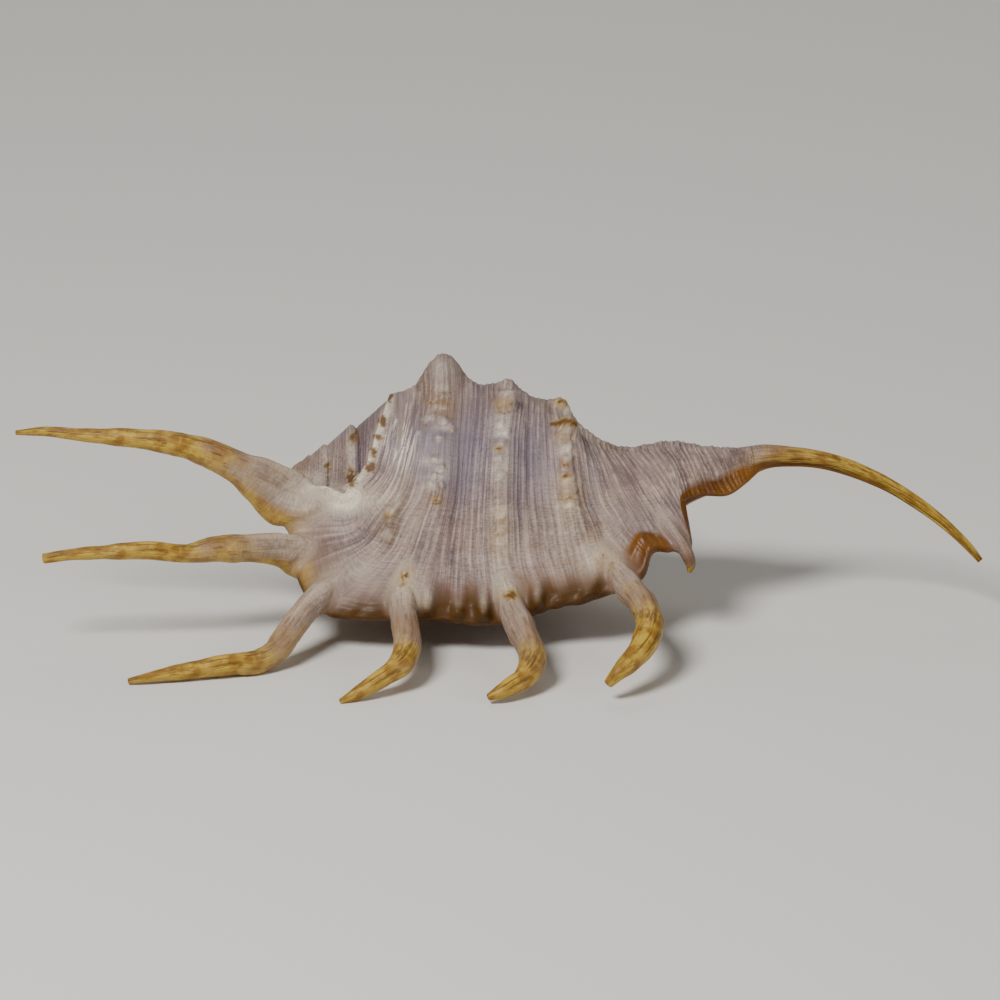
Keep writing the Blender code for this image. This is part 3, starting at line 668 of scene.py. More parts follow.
def bodyForm():
    # the rings made smooth both ways, then moved along their normals by the relief
    rings = np.array(bodyRings() + canalRings())
    crestX = np.array([rib[0][0] for rib in ribs] + [point[0] for point in canalLine], dtype=float)
    gaps = np.diff(crestX)
    ribSteps = [max(body["fewestSteps"], round(gap / body["samplePixels"])) for gap in gaps[:len(ribs)]]
    ribSteps += [body["canalSteps"]] * (len(gaps) - len(ribSteps))
    around = smoothThrough(rings.transpose(1, 0, 2), body["rowSteps"], True)
    grid = smoothThrough(around.transpose(1, 0, 2), ribSteps)
    ribAt = np.concatenate([i + np.arange(n) / n for i, n in enumerate(ribSteps)] + [[len(ribSteps)]])
    rowAt = np.concatenate([i + np.arange(n) / n for i, n in enumerate(body["rowSteps"])])
    crestAt = smoothThrough(crestX[:, None, None] * np.array([1.0, 0.0, 0.0]), ribSteps)[:, 0, 0]

    height, cords, fold, scar = bodyRelief(grid, ribAt, rowAt, crestAt)
    height += marginRelief(grid, ribAt, rowAt)
    grid = grid + gridNormals(grid) * height[:, :, None]
    grid[:, :, 2] = np.maximum(grid[:, :, 2], 0.0)
    count, size = grid.shape[:2]
    faces = ringFaces(count, size) + endStrip(0, size, False) + endStrip((count - 1) * size, size, True)
    painted = bodyMarks(grid, ribAt, rowAt, crestAt, cords, fold, scar)
    painted = {name: value.ravel() for name, value in painted.items()}
    return paintedForm(grid.reshape(-1, 3), faces, painted)


# Spire: a cone whose radius swells at each whorl's shoulder, on a spiral
spire = {
    "apex": (290, 468), "end": (406, 482), "depth": 4.5,
    "growth": 1.8,                     # size of each whorl against the last
    "slope": 0.143,                    # mm of radius for each pixel from the apex
    "shoulderPixel": 55.5,             # a shoulder on the top outline
    "first": 3.0,                      # pixels from the apex to the first ring
    "closing": 16.0,                   # pixels over which the far end rounds off
    "swellPhase": [0.0, 0.04, 0.18, 0.26, 0.60, 0.96, 1.0],
    "swell": [0.075, 0.060, -0.070, -0.070, -0.005, 0.070, 0.075],
    "suturePhase": 0.21, "sutureWidth": 0.03, "sutureDepth": 0.06,
    "around": 132, "along": 84,
    "cordPixels": 3.4, "cordHeight": 0.05,
    "paintDepth": 6.0,                 # mm; spots show only in front of this
    "palePixel": 360.0,                # and pale patches only left of this
}


def spireForm():
    # radius = slope x distance x (1 + swell - suture), the swell repeating once a whorl
    apex, end = spot(*spire["apex"], spire["depth"]), spot(*spire["end"], spire["depth"])
    axis = (end - apex) / np.linalg.norm(end - apex)
    level = np.array([0.0, 1.0, 0.0])
    rise = np.cross(axis, level)
    reach = np.linalg.norm(end - apex) / photo["pixel"]
    first = spire["first"]
    distance = first + (reach - first) * (np.arange(spire["along"]) / (spire["along"] - 1)) ** 0.9
    angle = 2 * math.pi * np.arange(spire["around"]) / spire["around"]
    away = distance[:, None] + 0.0 * angle[None]
    turn = ((angle[None] - math.pi / 2) / (2 * math.pi)) % 1.0
    phase = (np.log(away / spire["shoulderPixel"]) / math.log(spire["growth"]) - turn) % 1.0
    swell = np.interp(phase, spire["swellPhase"], spire["swell"])
    suture = np.exp(-((phase - spire["suturePhase"]) / spire["sutureWidth"]) ** 2)
    radius = spire["slope"] * away * (1.0 + swell - spire["sutureDepth"] * suture)
    cords = 0.5 + 0.5 * np.cos(2 * math.pi * (away / spire["cordPixels"] - turn * 2))
    radius += spire["cordHeight"] * cords * rises(away, 10.0, 15.0)
    radius += 0.05 * softNoise(away / 3.0, angle[None] * 7.0, 41)
    radius *= falls(away, reach, spire["closing"]) ** 0.5
    centre = apex + axis * (distance * photo["pixel"])[:, None]
    grid = centre[:, None] + radius[..., None] * (
        np.cos(angle)[None, :, None] * level + np.sin(angle)[None, :, None] * rise)
    grid = grid[:, ::-1]
    points = np.concatenate([grid.reshape(-1, 3), [apex + axis * 1.2 * photo["pixel"], end]])
    count, size = grid.shape[:2]

    def spread(values, atApex, atEnd):
        # the rings' values in the grid's order, then the two poles
        return np.append(values[:, ::-1].ravel(), [atApex, atEnd])

    x, y = pixelOf(points)
    inFront = points[:, 1] < spire["paintDepth"]
    young = falls(spread(away, 0.0, 99.0), 30.0, 22.0)
    # painted shade: the cords mark is pushed down along the suture, darkening it towards the groove tone
    groove = spread(np.exp(-((phase - 0.20) / 0.05) ** 2), 0.0, 0.0)
    return paintedForm(points, ringFaces(count, size, count * size, count * size + 1), {
        "ochre": 0.05 * young, "warm": 0.1 + 0.3 * young, "cool": 0.42,
        "stainAndShadow": brokenStainsAndShadows(x, y) * inFront,
        "paleAndHighlight": 0.8 * blobs(x, y, marks["paleAndHighlight"]) * inFront * (x < spire["palePixel"]),
        "cords": 0.8 * spread(cords, 0.5, 0.5) - 0.9 * groove,
        "across": x * 1.3, "along": points[:, 2]})


# Heels: rounded lumps of callus that fill the slit behind the rim's lower end
heels = {
    # pixel, pixel, then depth, half width, half depth and half height in mm
    "lumps": [(347, 502, -5.0, 3.8, 2.9, 2.2), (366, 487, -6.5, 2.4, 1.8, 2.6),
              (355, 491, -6.4, 2.2, 1.4, 1.5)],
    "rings": 22, "sides": 36,
    "firstNumber": 20,                 # the heels' form numbers start here
}


def heelForm(x, y, depth, halfWidth, halfDepth, halfHeight):
    # an ellipsoid: half width x cos(bow) along, half depth and half height x sin(bow) around
    bow = math.pi * np.arange(1, heels["rings"] + 1)[:, None] / (heels["rings"] + 1)
    angle = 2 * math.pi * np.arange(heels["sides"])[None] / heels["sides"]
    offset = np.stack([-halfWidth * np.cos(bow) + 0.0 * angle, -halfDepth * np.sin(bow) * np.cos(angle),
                       halfHeight * np.sin(bow) * np.sin(angle)], axis=-1)
    centre = spot(x, y, depth)
    poles = [centre - [halfWidth, 0.0, 0.0], centre + [halfWidth, 0.0, 0.0]]
    points = np.concatenate([(centre + offset).reshape(-1, 3), poles])
    count, size = offset.shape[:2]
    return paintedForm(points, ringFaces(count, size, count * size, count * size + 1), {
        "paleAndHighlight": 0.35, "cool": 0.25, "warm": 0.2, "across": points[:, 0] * 6.0, "along": points[:, 2]})


# Digits: pixel, pixel, half width in pixels, depth in mm, from the root to the tip
digits = {
    "digit1": [
        (330, 503, 10, -6.2), (307, 505, 29.5, -7.3), (286, 498, 30.0, -7.6), (265, 483, 23.0, -8.1),
        (246, 471.5, 18.0, -8.6), (222, 459, 14.4, -9.0), (200, 450, 13.3, -9.2), (171, 443, 11.6, -9.3),
        (141, 439, 9.8, -9.0), (110, 437, 8.2, -8.5), (80, 435, 6.5, -7.8), (50, 432, 4.9, -7.0),
        (19, 433, 2.6, -6.0)],
    "digit2": [
        (338, 557, 6, -14.2), (319, 563, 24, -14.0), (301, 557, 23, -14.2), (283, 550, 18.0, -15.6),
        (262, 548, 14.5, -17.2), (240, 548, 13.3, -18.6), (217, 549, 12.0, -19.7), (190, 553, 9.4, -20.6),
        (152, 550, 9.0, -21.5), (107, 552, 7.0, -22.0), (76, 554, 5.6, -22.2), (49, 558, 5.0, -22.4)],
    "digit3": [
        (357, 562, 6, -15.8), (340, 578, 9.5, -19.0), (321, 597, 13.5, -22.8), (304, 614, 14.2, -26.8),
        (291, 632, 13.5, -30.0), (279, 649, 12.2, -32.5), (260, 660, 11.2, -34.5), (235, 662, 10.0, -36.0),
        (207, 666, 8.6, -37.2), (180, 670, 7.4, -38.4), (157, 674, 5.2, -39.4), (135, 678, 2.6, -40.0)],
    "digit4": [
        (411, 552, 6, -16.2), (409, 568, 9.5, -18.9), (405, 590, 13, -22.4), (404, 612, 14.5, -28.0),
        (408, 633, 14.6, -34.4), (408, 649, 14, -39.0), (401, 663, 12, -42.5), (387, 673, 10, -44.6),
        (371, 683, 8.2, -46.2), (357, 691, 5.5, -47.4), (344, 697, 2.6, -48.4)],
    "digit5": [
        (501, 562, 6, -17.0), (504, 580, 10, -20.6), (509, 600, 15, -24.4), (516, 619, 17.8, -29.6),
        (525, 636, 17.5, -34.6), (531, 650, 16, -38.5), (531, 663, 13.2, -42.0), (523, 675, 11.0, -44.8),
        (511, 682, 9.2, -46.6), (500, 688, 7, -48.0), (489, 693, 3.8, -48.7)],
    "digit6": [
        (590, 528, 5, -11.9), (600, 545, 9, -14.8), (613, 567, 12.7, -18.8), (628, 588, 14.7, -24.6),
        (641, 603, 14.8, -30.0), (647, 618, 13.6, -34.0), (646, 632, 13.4, -38.0), (638, 647, 12.2, -41.8),
        (627, 659, 10.4, -44.4), (616, 669, 8.2, -46.4), (606, 680, 4.6, -47.4)],
    "lobe": [
        (660, 515, 5, -12.2), (670, 530, 9, -14.8), (680, 544, 8.5, -16.8), (687, 557, 6.0, -17.9),
        (689, 566, 4.2, -18.2), (688, 571, 2.6, -18.4)],
}

digit = {
    "sides": 28, "steps": 9, "capRings": 4,
    "cords": 10, "cordHeight": 0.14,
    "ringHeight": 0.035,
    "wobble": 0.07,                    # share of the radius
    "bodyPixel": 600.0,                # spots show only above this
    # share of the length
    "ochreFrom": {"digit1": 0.33, "digit2": 0.38, "digit3": 0.48, "digit4": 0.56, "digit5": 0.64,
                  "digit6": 0.54, "lobe": 2.0},
    "tipLength": 0.35,                 # share of the last radius
    "flatFrom": 2.1,                   # mm; a wider root grows only slowly in depth
    "flatShare": 0.12,
    "lean": {"digit1": 43.0, "digit2": 52.0},   # degrees; wide roots lie in the flare
    "leanShare": 0.30,
    "rootPale": {"digit4": 1.1, "digit5": 0.9, "digit6": 0.8},
}


def nameSeed(name):
    # a noise seed of its own for each digit
    return sum(ord(letter) for letter in name)


def digitPath(line):
    # a smooth centre line with its direction and radius, closing as a quarter circle at the tip
    steps = [digit["steps"]] * (len(line) - 1)
    centre = np.array([spot(x, y, depth) for x, y, _, depth in line])
    centre = smoothThrough(centre[:, None], steps)[:, 0]
    halfWidth = np.array([point[2] for point in line], dtype=float) * photo["pixel"]
    radius = smoothThrough(halfWidth[:, None, None] * np.array([1.0, 0.0, 0.0]), steps)[:, 0, 0]
    course = np.gradient(centre, axis=0)
    course /= np.linalg.norm(course, axis=1, keepdims=True)
    bow = np.linspace(0.0, math.pi / 2, digit["capRings"] + 2)[1:-1]
    tipLength = radius[-1] * digit["tipLength"]
    tip = centre[-1] + course[-1] * tipLength
    cap = centre[-1] + course[-1] * (tipLength * np.sin(bow))[:, None]
    centre = np.concatenate([centre, cap])
    course = np.concatenate([course, np.repeat(course[-1:], len(cap), axis=0)])
    radius = np.concatenate([radius, radius[-1] * np.cos(bow)])
    return centre, course, radius, tip


def digitRelief(share, angle, far, radius, seed):
    # cosine cords round the digit, noise lumps as a share of the radius, and fine rings
    upper = ease(0.5 + 0.9 * np.sin(angle))
    wave = 0.5 + 0.5 * np.cos(digit["cords"] * angle + 1.5 * softNoise(share * 3.0, 0 * share, seed))
    fade = ease(share * 6.0) * radius / radius.max()
    lumpy = softNoise(far / 2.4, 0.0 * angle, seed + 1)
    lumpy = lumpy + 0.7 * softNoise(far / 3.1, 1.3 * np.cos(angle) + 5.0, seed + 2)
    rings = softNoise(far * 1.6, 0.8 * np.sin(angle) + 3.0, seed + 3)
    bump = digit["cordHeight"] * wave * fade * (0.35 + 0.65 * upper)
    bump = bump + digit["wobble"] * radius * lumpy + digit["ringHeight"] * rings * fade
    return bump, wave * fade * upper, upper


def digitMarks(name, points, share, angle, far, ribbed, upper):
    # ochre past a share of the length and underneath, glaze under the root, a pale root
    seed = nameSeed(name)
    x, y = pixelOf(points)
    under = rises(-np.sin(angle), 0.22, 0.5)
    patches = 0.10 * softNoise(far / 3.0, np.sin(angle) * 1.5, seed + 4)
    ochre = 0.92 * ease((share - digit["ochreFrom"][name] + patches) / 0.42 + 0.5)
    ochre = np.maximum(ochre, 0.85 * under)
    glaze = 0.95 * under * (1.0 - ease((share - 0.16) * 7.0)) * (name not in digit["lean"])
    if name == "lobe":
        ochre = 0.9 * ease(share * 6.0 - 4.8)
        glaze = 0.9 * np.maximum(ease(share * 4.0 - 2.6), under) * (1.0 - ease(share * 6.0 - 4.8))

    def spread(value, atRoot, atTip):
        # a value for each ring and side, then the two poles
        return np.append(np.broadcast_to(value, (share.size, angle.size)).ravel(), [atRoot, atTip])

    onBody = y < digit["bodyPixel"]
    return {
        "glaze": spread(glaze, 0.0, glaze[-1].mean()),
        "ochre": np.maximum(spread(ochre, 0.0, ochre[-1].mean()), blobs(x, y, marks["tan"]) * onBody),
        "stainAndShadow": brokenStainsAndShadows(x, y) * onBody,
        "paleAndHighlight": spread(digit["rootPale"].get(name, 0.42) * (1 - ease(share * 2.0)), 0.4, 0.0),
        "warm": 0.35, "scar": 0.6,
        "dash": spread(ease(share * 5.0) * upper, 0.0, 0.0),
        "cords": spread(0.7 * ribbed, 0.4, 0.4),
        "across": spread(angle * 9.0, 0.0, 0.0), "along": spread(far, 0.0, far[-1, 0])}


def digitForm(name, line):
    # ovals carried along the path: radius upwards, a lesser depth where the root is wide
    centre, course, radius, tip = digitPath(line)
    far = np.concatenate([[0.0], np.cumsum(np.linalg.norm(np.diff(centre, axis=0), axis=1))])[:, None]
    radius = radius[:, None]
    share = far / far[-1]
    angle = (2 * math.pi * np.arange(digit["sides"]) / digit["sides"])[None]
    rise = np.array([0.0, 0.0, 1.0]) - course * course[:, 2:3]
    rise /= np.linalg.norm(rise, axis=1, keepdims=True)
    level = np.cross(course, rise)
    lean = np.radians(digit["lean"].get(name, 0.0)) * (1.0 - ease(share / digit["leanShare"]))
    rise, level = rise * np.cos(lean) + level * np.sin(lean), level * np.cos(lean) - rise * np.sin(lean)
    bump, ribbed, upper = digitRelief(share, angle, far, radius, nameSeed(name))
    deep = np.minimum(radius, digit["flatFrom"] + digit["flatShare"] * (radius - digit["flatFrom"]))
    grid = (centre[:, None] + level[:, None] * (np.cos(angle) * (deep + bump))[..., None]
            + rise[:, None] * (np.sin(angle) * (radius + bump))[..., None])
    count, size = grid.shape[:2]
    points = np.concatenate([grid.reshape(-1, 3), [centre[0] - course[0] * 0.3, tip]])
    faces = ringFaces(count, size, count * size, count * size + 1)
    return paintedForm(points, faces, digitMarks(name, points, share, angle, far, ribbed, upper))


def formObject(name, form, partNumber):
    # a mesh with its marks, and the form's number, on every vertex
    mesh = bpy.data.meshes.new(name)
    mesh.from_pydata((form["points"] * millimetre).tolist(), [], form["faces"])
    for mark in markNames:
        layer = mesh.attributes.new(mark, "FLOAT", "POINT")
        layer.data.foreach_set("value", np.ascontiguousarray(form["marks"][mark], dtype=np.float32))
    layer = mesh.attributes.new("form", "FLOAT", "POINT")
    layer.data.foreach_set("value", np.full(len(form["points"]), partNumber, dtype=np.float32))
    made = bpy.data.objects.new(name, mesh)
    bpy.context.scene.collection.objects.link(made)
    return made


def joinForms(base, others):
    # one closed skin: the union of the overlapping forms
    for other in others:
        union = base.modifiers.new("join" + other.name, "BOOLEAN")
        union.operation = "UNION"
        union.solver = "MANIFOLD"
        union.object = other
    depsgraph = bpy.context.evaluated_depsgraph_get()
    mesh = bpy.data.meshes.new_from_object(base.evaluated_get(depsgraph))
    for old in [base] + others:
        bpy.data.objects.remove(old, do_unlink=True)
    return mesh


# The joints between the forms are melted into one another
seam = {
    "reach": 2.0,                      # mm on each side of a joint
    "far": 1000.0,                     # mm, past any reach
    "passes": 26, "pull": 0.6,         # share of the way to the neighbours' mean at each pass
    "markPasses": 40, "markPull": 0.7,
    "sweeps": 26,
    # mm off the reach where the spire meets the rim left of a pixel and in front of a depth
    "suture": (1.5, 372.0, -5.0),
}
blended = ["glaze", "ochre", "paleAndHighlight", "cool", "warm", "shade", "scar", "dash"]


def readFloats(data, field, width):
    values = np.empty(len(data) * width, dtype=np.float32)
    data.foreach_get(field, values)
    return values.reshape(-1, width).astype(float)


def neighbourMean(values, edges, count):
    # the mean of each vertex's neighbours, column by column
    total = np.bincount(edges.ravel(), minlength=count)[:, None]
    first, second = edges.T
    columns = [np.bincount(first, weights=column[second], minlength=count)
               + np.bincount(second, weights=column[first], minlength=count) for column in values.T]
    return np.stack(columns, axis=1) / np.maximum(total, 1)


def jointDistance(points, edges, form):
    # mm along the edges to the nearest joint between two forms, which starts at more
    # than 0 where the joint is to stay crisp
    length = np.linalg.norm(points[edges[:, 0]] - points[edges[:, 1]], axis=1)
    numbers = form[edges]
    crossing = np.abs(numbers[:, 0] - numbers[:, 1]) > 0.5
    distance = np.full(len(points), seam["far"])
    distance[edges[crossing].ravel()] = 0.0
    less, leftOf, inFront = seam["suture"]
    spireToBody = numbers.sum(axis=1) < 1.5     # the body is form 0 and the spire form 1
    ends = edges[crossing & spireToBody].ravel()
    crisp = (pixelOf(points[ends])[0] < leftOf) & (points[ends, 1] < inFront)
    distance[ends[crisp]] = less
    heelToBody = (numbers.max(axis=1) > heels["firstNumber"] - 0.5) & (numbers.min(axis=1) < 0.5)
    distance[edges[crossing & heelToBody].ravel()] = less
    for _ in range(seam["sweeps"]):
        np.minimum.at(distance, edges[:, 0], distance[edges[:, 1]] + length)
        np.minimum.at(distance, edges[:, 1], distance[edges[:, 0]] + length)
    return distance


def meltSeams(mesh):
    # Laplacian smoothing, the full amount at a joint and none past its reach
    count = len(mesh.vertices)
    points = readFloats(mesh.vertices, "co", 3) / millimetre
    ends = np.empty(len(mesh.edges) * 2, dtype=np.int32)
    mesh.edges.foreach_get("vertices", ends)
    edges = ends.reshape(-1, 2)
    form = readFloats(mesh.attributes["form"].data, "value", 1)[:, 0]
    near = ease(1.0 - jointDistance(points, edges, form) / seam["reach"])[:, None]
    for _ in range(seam["passes"]):
        points += seam["pull"] * near * (neighbourMean(points, edges, count) - points)
    points[:, 2] = np.maximum(points[:, 2], 0.0)
    paint = np.stack([readFloats(mesh.attributes[mark].data, "value", 1)[:, 0] for mark in blended], axis=1)
    for _ in range(seam["markPasses"]):
        paint += seam["markPull"] * near * (neighbourMean(paint, edges, count) - paint)
    for mark, column in zip(blended, paint.T):
        mesh.attributes[mark].data.foreach_set("value", column.astype(np.float32))
    mesh.attributes["form"].data.foreach_set("value", near[:, 0].astype(np.float32))
    mesh.attributes["form"].name = "joint"
    return points


def placeInFrame(mesh, points):
    # the floor point and the middle of the outline go where the solid has them
    low, high = points.min(axis=0), points.max(axis=0)
    middle = (shellBox[0] + shellBox[1]) / 2 / millimetre
    shift = np.array([middle[0] - (low[0] + high[0]) / 2, middle[1] - (low[1] + high[1]) / 2,
                      shellBox[0][2] / millimetre - low[2]])
    mesh.vertices.foreach_set("co", ((points + shift) * millimetre).astype(np.float32).ravel())
    mesh.update()
    return shift


# Looks: colours as they read in the photograph
looks = {
    "ridge": (202, 178, 160), "ridgeDull": (176, 151, 140),
    "groove": (104, 86, 88), "grooveWarm": (110, 88, 72), "blueGrey": (110, 104, 122),
    "ochreLine": (164, 116, 56), "white": (246, 232, 204), "digitOchre": (150, 106, 4),
    "digitCream": (196, 160, 52), "streakBrown": (84, 50, 4), "orange": (116, 70, 0),
    # the rolled margin's dark gold and brown-pink tones here are painted shade
    "deepOrange": (82, 44, 0), "marginGoldInShade": (78, 48, 0), "marginShadeBrown": (112, 80, 60),
    "scarBlue": (130, 128, 144), "stainAndShadow": (138, 102, 0), "deepStainAndShadow": (94, 58, 0),
    "coat": 0.07, "coatRoughness": 0.25, "specular": 0.28,
    "bumpDepth": 0.00022,
}


def linearColour(colour):
    # the sRGB curve undone
    share = np.array(colour) / 255.0
    linear = np.where(share <= 0.04045, share / 12.92, ((share + 0.055) / 1.055) ** 2.4)
    return (*linear.tolist(), 1.0)


# Noise drawn out along the growth: scale across the cords, scale along them, detail, roughness
flows = {
    "fine": (0.60, 0.12, 3.0, 0.5), "broad": (0.07, 0.05, 2.0, 0.5), "bars": (0.05, 1.1, 3.0, 0.5),
    "weave": (0.34, 3.0, 3.0, 0.5), "broken": (0.12, 0.35, 3.0, 0.5), "patches": (0.08, 0.34, 4.0, 0.5),
    "streaks": (0.30, 0.20, 4.0, 0.65), "dashes": (0.40, 0.12, 2.0, 0.5), "breaks": (0.25, 0.7, 2.0, 0.5),
    "lines": (0.85, 0.10, 3.0, 0.5), "growth": (0.05, 3.2, 3.0, 0.5),
}
# The same all ways: scale, detail, roughness
clouds = {
    "drift": (55.0, 3.0, 0.5), "mottle": (90.0, 4.0, 0.6), "clouds": (140.0, 3.0, 0.5),
    "grain": (1500.0, 2.0, 0.5),
}


class NodeBench:
    # small helpers for laying out a material's nodes; a mark or a noise is made once
    def __init__(self, tree):
        self.tree = tree
        self.made = {}
        self.tone = {name: linearColour(value) for name, value in looks.items() if isinstance(value, tuple)}
        self.place = self.put("ShaderNodeTexCoord").outputs["Object"]

    def put(self, kind, **settings):
        node = self.tree.nodes.new(kind)
        for name, value in settings.items():
            setattr(node, name, value)
        return node

    def plug(self, socket, value):
        if hasattr(value, "is_output"):
            self.tree.links.new(value, socket)
        else:
            socket.default_value = value

    def math(self, operation, first, second, clamp=False):
        node = self.put("ShaderNodeMath", operation=operation, use_clamp=clamp)
        self.plug(node.inputs[0], first)
        self.plug(node.inputs[1], second)
        return node.outputs[0]

    def times(self, first, second):
        return self.math("MULTIPLY", first, second)

    def plus(self, first, second):
        return self.math("ADD", first, second)

    def less(self, first, second, clamp=False):
        return self.math("SUBTRACT", first, second, clamp)

    def noise(self, vector, scale, detail, roughness):
        node = self.put("ShaderNodeTexNoise")
        self.plug(node.inputs["Vector"], vector)
        node.inputs["Scale"].default_value = scale
        node.inputs["Detail"].default_value = detail
        node.inputs["Roughness"].default_value = roughness
        return node.outputs[0]

    def mark(self, name):
        if name not in self.made:
            node = self.put("ShaderNodeAttribute", attribute_type="GEOMETRY", attribute_name=name)
            self.made[name] = node.outputs["Fac"]
        return self.made[name]

    def flow(self, name):
        if name not in self.made:
            across, along, detail, roughness = flows[name]
            vector = self.put("ShaderNodeCombineXYZ")
            self.plug(vector.inputs[0], self.times(self.mark("across"), across))
            self.plug(vector.inputs[1], self.times(self.mark("along"), along))
            self.made[name] = self.noise(vector.outputs[0], 1.0, detail, roughness)
        return self.made[name]

    def cloud(self, name):
        if name not in self.made:
            self.made[name] = self.noise(self.place, *clouds[name])
        return self.made[name]

    def window(self, value, low, high, toLow=0.0, toHigh=1.0):
        node = self.put("ShaderNodeMapRange", interpolation_type="SMOOTHSTEP")
        for name, amount in zip(("Value", "From Min", "From Max", "To Min", "To Max"),
                                (value, low, high, toLow, toHigh)):
            self.plug(node.inputs[name], amount)
        return node.outputs["Result"]

    def between(self, factor, first, second):
        node = self.put("ShaderNodeMix", data_type="FLOAT")
        self.plug(node.inputs[0], factor)
        self.plug(node.inputs[2], first)
        self.plug(node.inputs[3], second)
        return node.outputs[0]

    def mix(self, factor, below, above):
        node = self.put("ShaderNodeMix", data_type="RGBA")
        self.plug(node.inputs["Factor"], factor)
        self.plug(node.inputs[6], below)
        self.plug(node.inputs[7], above)
        return node.outputs[2]


def stripeAmount(bench):
    # thin pale lines on the cords + broader bands - faint growth lines across them,
    # evened out on the scar and at the joints
    cordTop = bench.times(bench.window(bench.mark("cords"), 0.35, 0.95, 0.0, 0.42),
                          bench.window(bench.flow("broken"), 0.35, 0.62, 0.35, 1.15))
    stripe = bench.plus(cordTop, bench.window(bench.flow("fine"), 0.36, 0.64, 0.0, 0.36))
    stripe = bench.plus(stripe, bench.window(bench.flow("broad"), 0.38, 0.64, 0.0, 0.38))
    stripe = bench.plus(stripe, 0.02)
    stripe = bench.less(stripe, bench.window(bench.flow("bars"), 0.48, 0.70, 0.0, 0.16))
    stripe = bench.less(stripe, bench.window(bench.flow("weave"), 0.42, 0.64, 0.0, 0.24), clamp=True)
    plain = bench.math("MAXIMUM", bench.times(bench.mark("joint"), 0.35),
                       bench.times(bench.mark("scar"), 0.6))
    return bench.between(plain, stripe, 0.50)


def groundColour(bench):
    # grooves to ridges by the stripes, then the cool and scarred marks, painted shade on the margin, the warm
    # marks, the pale marks with painted highlights, and painted highlight lines on the polish
    tone = bench.tone
    grooves = bench.mix(bench.window(bench.cloud("drift"), 0.40, 0.60), tone["groove"], tone["grooveWarm"])
    ridges = bench.mix(bench.window(bench.cloud("mottle"), 0.42, 0.62), tone["ridge"], tone["ridgeDull"])
    colour = bench.mix(stripeAmount(bench), grooves, ridges)
    cool = bench.mark("cool")
    growthLines = bench.window(bench.flow("bars"), 0.42, 0.62, 0.05, 0.5)
    layers = [
        (bench.times(cool, 0.60), "blueGrey"),
        (bench.times(cool, bench.times(bench.mark("scar"), 0.75)), "scarBlue"),
        # painted shade: the rolled margin is darkened towards brown
        (bench.times(bench.mark("shade"), 0.5), "marginShadeBrown"),
        (bench.times(bench.mark("warm"), growthLines), "ochreLine"),
        (bench.times(bench.mark("paleAndHighlight"), bench.window(bench.flow("weave"), 0.3, 0.6, 0.95, 0.62)), "white"),
        # painted highlight: white lines on the polished patch stand in for the gleam of its cords
        (bench.times(bench.mark("polishAndHighlight"), bench.window(bench.flow("fine"), 0.50, 0.60, 0.0, 0.85)), "white"),
    ]
    for amount, name in layers:
        colour = bench.mix(amount, colour, tone[name])
    return colour


def tipColour(bench, colour):
    # the digits and the canal turn ochre and cream, with brown streaks along them
    ochre = bench.mark("ochre")
    tips = bench.mix(bench.window(bench.flow("patches"), 0.38, 0.60),
                     bench.tone["digitOchre"], bench.tone["digitCream"])
    streak = bench.times(bench.window(bench.flow("streaks"), 0.50, 0.62),
                         bench.window(ochre, 0.15, 0.7, 0.0, 0.72))
    streak = bench.times(streak, bench.window(bench.mark("dash"), 0.0, 0.6, 0.25, 1.0))
    dash = bench.times(bench.window(bench.flow("dashes"), 0.50, 0.62),
                       bench.window(bench.flow("breaks"), 0.38, 0.58, 0.12, 0.42))
    dash = bench.times(dash, bench.mark("dash"))
    colour = bench.mix(ochre, colour, tips)
    return bench.mix(bench.math("MAXIMUM", streak, dash), colour, bench.tone["streakBrown"])


def glazeColour(bench, colour):
    # the mouth's orange glaze, darker in cloudy patches and turned to a dark gold as painted shade on the
    # rolled margin, then the stains with their painted shadow lines, and a fine grain
    tone = bench.tone
    glaze = bench.mix(bench.window(bench.cloud("clouds"), 0.35, 0.68), tone["orange"], tone["deepOrange"])
    # painted shade: the glaze on the rolled margin is darkened to a shaded gold
    glaze = bench.mix(bench.mark("shade"), glaze, tone["marginGoldInShade"])
    colour = bench.mix(bench.mark("glaze"), colour, glaze)
    stainAndShadow = bench.mark("stainAndShadow")
    stainAndShadowTone = bench.mix(bench.window(stainAndShadow, 0.55, 1.0), tone["stainAndShadow"], tone["deepStainAndShadow"])
    colour = bench.mix(bench.times(stainAndShadow, 0.9), colour, stainAndShadowTone)
    return bench.mix(bench.window(bench.cloud("grain"), 0.55, 0.8, 0.0, 0.22), colour, tone["groove"])


def skinRoughness(bench):
    # cloudy, less on the polish and the wet glaze, more on the shaded lip
    shade = bench.mark("shade")
    wet = bench.times(bench.mark("glaze"), bench.less(1.0, shade))
    roughness = bench.window(bench.cloud("clouds"), 0.3, 0.7, 0.42, 0.56)
    roughness = bench.less(roughness, bench.times(bench.mark("polishAndHighlight"), 0.28))
    roughness = bench.less(roughness, bench.times(wet, 0.08))
    return bench.plus(roughness, bench.times(shade, 0.12))


def skinBump(bench):
    # fine lines along the cords and growth lines across them, fainter on the glaze, none at a joint
    height = bench.plus(bench.times(bench.flow("lines"), 0.8), bench.times(bench.flow("growth"), 0.5))
    height = bench.times(height, bench.less(1.0, bench.mark("joint")))
    height = bench.times(height, bench.window(bench.mark("glaze"), 0.0, 1.0, 1.0, 0.35))
    height = bench.plus(height, bench.times(bench.cloud("grain"), 0.12))
    bump = bench.put("ShaderNodeBump")
    bump.inputs["Strength"].default_value = 1.0
    bump.inputs["Distance"].default_value = looks["bumpDepth"]
    bench.plug(bump.inputs["Height"], height)
    return bump.outputs["Normal"]


